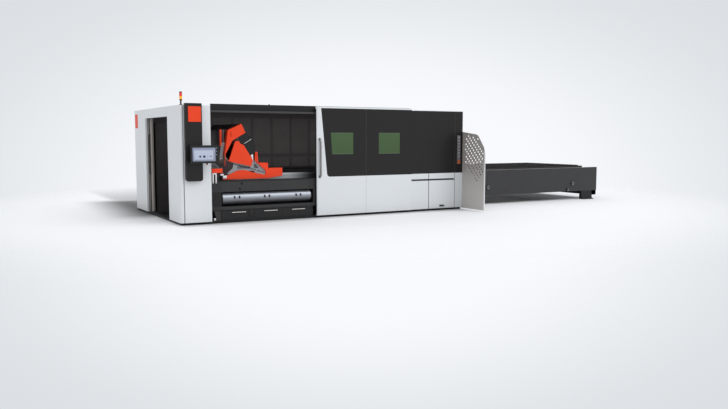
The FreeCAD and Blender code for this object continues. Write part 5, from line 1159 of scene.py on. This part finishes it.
def studio():
    """A wide pale floor, soft light from the front right, lamps in the cabin and the camera."""
    settings = bpy.context.scene.cutter_stage
    bpy.context.scene.view_settings.view_transform = "Standard"
    studio_floor()
    backdrop()
    lamp("SUN", "key_lamp", settings.key_light, (6, -10, 9), KEY_LAMP_TURN).data.angle = KEY_LAMP_SPREAD
    cabin_lamp("cabin_lamp", settings.cabin_light, at(3300, 2300, 2180), (radians(28), 0, 0), (5.2, 0.6))
    cabin_lamp("doorway_lamp", settings.cabin_light * DOORWAY_SHARE, at(330, 900, 1300),
               (0, radians(-98), 0), (0.4, 1.6))
    studio_camera()
    fresh()


# ---- operators
class CutterOperator:
    """What the operators of this file share."""

    bl_options = {"REGISTER", "UNDO"}


class CUTTER_OT_finishes(CutterOperator, bpy.types.Operator):
    """Paint every part of the machine"""

    bl_idname = "cutter.finishes"
    bl_label = "Paint the machine"

    def execute(self, context):
        finish_machine()
        return {"FINISHED"}


class CUTTER_OT_gantry_trim(CutterOperator, bpy.types.Operator):
    """Fit the trim, the guard and the chain of the gantry"""

    bl_idname = "cutter.gantry_trim"
    bl_label = "Gantry trim"

    def execute(self, context):
        gantry_trim()
        return {"FINISHED"}


class CUTTER_OT_opening_parts(CutterOperator, bpy.types.Operator):
    """Fit the small parts round the front opening"""

    bl_idname = "cutter.opening_parts"
    bl_label = "Opening parts"

    def execute(self, context):
        opening_parts()
        return {"FINISHED"}


class CUTTER_OT_table_parts(CutterOperator, bpy.types.Operator):
    """Fit the nuts, shaft ends and anchors of the shuttle table"""

    bl_idname = "cutter.table_parts"
    bl_label = "Table parts"

    def execute(self, context):
        table_parts()
        return {"FINISHED"}


class CUTTER_OT_screen_keys(CutterOperator, bpy.types.Operator):
    """Fit the soft keys beside the screen"""

    bl_idname = "cutter.screen_keys"
    bl_label = "Screen keys"

    def execute(self, context):
        screen_keys()
        return {"FINISHED"}


class CUTTER_OT_rear_parts(CutterOperator, bpy.types.Operator):
    """Fit the louvres and screws on the rear wall and the lifting eyes on the roof"""

    bl_idname = "cutter.rear_parts"
    bl_label = "Rear and roof parts"

    def execute(self, context):
        rear_parts()
        return {"FINISHED"}


class CUTTER_OT_door_parts(CutterOperator, bpy.types.Operator):
    """Fit the handle's rosettes and the seals on the front door"""

    bl_idname = "cutter.door_parts"
    bl_label = "Door parts"

    def execute(self, context):
        door_parts()
        return {"FINISHED"}


class CUTTER_OT_stage(CutterOperator, bpy.types.Operator):
    """Set up the floor, the lamps, the air and the camera"""

    bl_idname = "cutter.stage"
    bl_label = "Studio"

    def execute(self, context):
        studio()
        return {"FINISHED"}


class CUTTER_PT_sidebar(bpy.types.Panel):
    """The settings and the steps of the machine"""

    bl_label = "Laser cutter"
    bl_space_type = "VIEW_3D"
    bl_region_type = "UI"
    bl_category = "Cutter"

    def draw(self, context):
        column = self.layout.column()
        for group in (context.scene.cutter_colours, context.scene.cutter_sizes, context.scene.cutter_stage):
            for name in group.bl_rna.properties.keys():
                if name not in ("rna_type", "name"):
                    column.prop(group, name)
        for operator in OPERATORS:
            column.operator(operator.bl_idname)


GROUPS = (CutterColours, CutterSizes, CutterStage)
OPERATORS = (CUTTER_OT_finishes, CUTTER_OT_gantry_trim, CUTTER_OT_opening_parts, CUTTER_OT_table_parts,
             CUTTER_OT_screen_keys, CUTTER_OT_rear_parts, CUTTER_OT_door_parts, CUTTER_OT_stage)
PANELS = (CUTTER_PT_sidebar,)


def register():
    for kind in GROUPS + OPERATORS + PANELS:
        bpy.utils.register_class(kind)
    bpy.types.Scene.cutter_colours = bpy.props.PointerProperty(type=CutterColours)
    bpy.types.Scene.cutter_sizes = bpy.props.PointerProperty(type=CutterSizes)
    bpy.types.Scene.cutter_stage = bpy.props.PointerProperty(type=CutterStage)


def unregister():
    del bpy.types.Scene.cutter_stage
    del bpy.types.Scene.cutter_sizes
    del bpy.types.Scene.cutter_colours
    for kind in reversed(GROUPS + OPERATORS + PANELS):
        bpy.utils.unregister_class(kind)


def main():
    register()
    bpy.ops.cutter.finishes()
    bpy.ops.cutter.gantry_trim()
    bpy.ops.cutter.opening_parts()
    bpy.ops.cutter.table_parts()
    bpy.ops.cutter.screen_keys()
    bpy.ops.cutter.rear_parts()
    bpy.ops.cutter.door_parts()
    bpy.ops.cutter.stage()


if __name__ == "__main__":
    main()
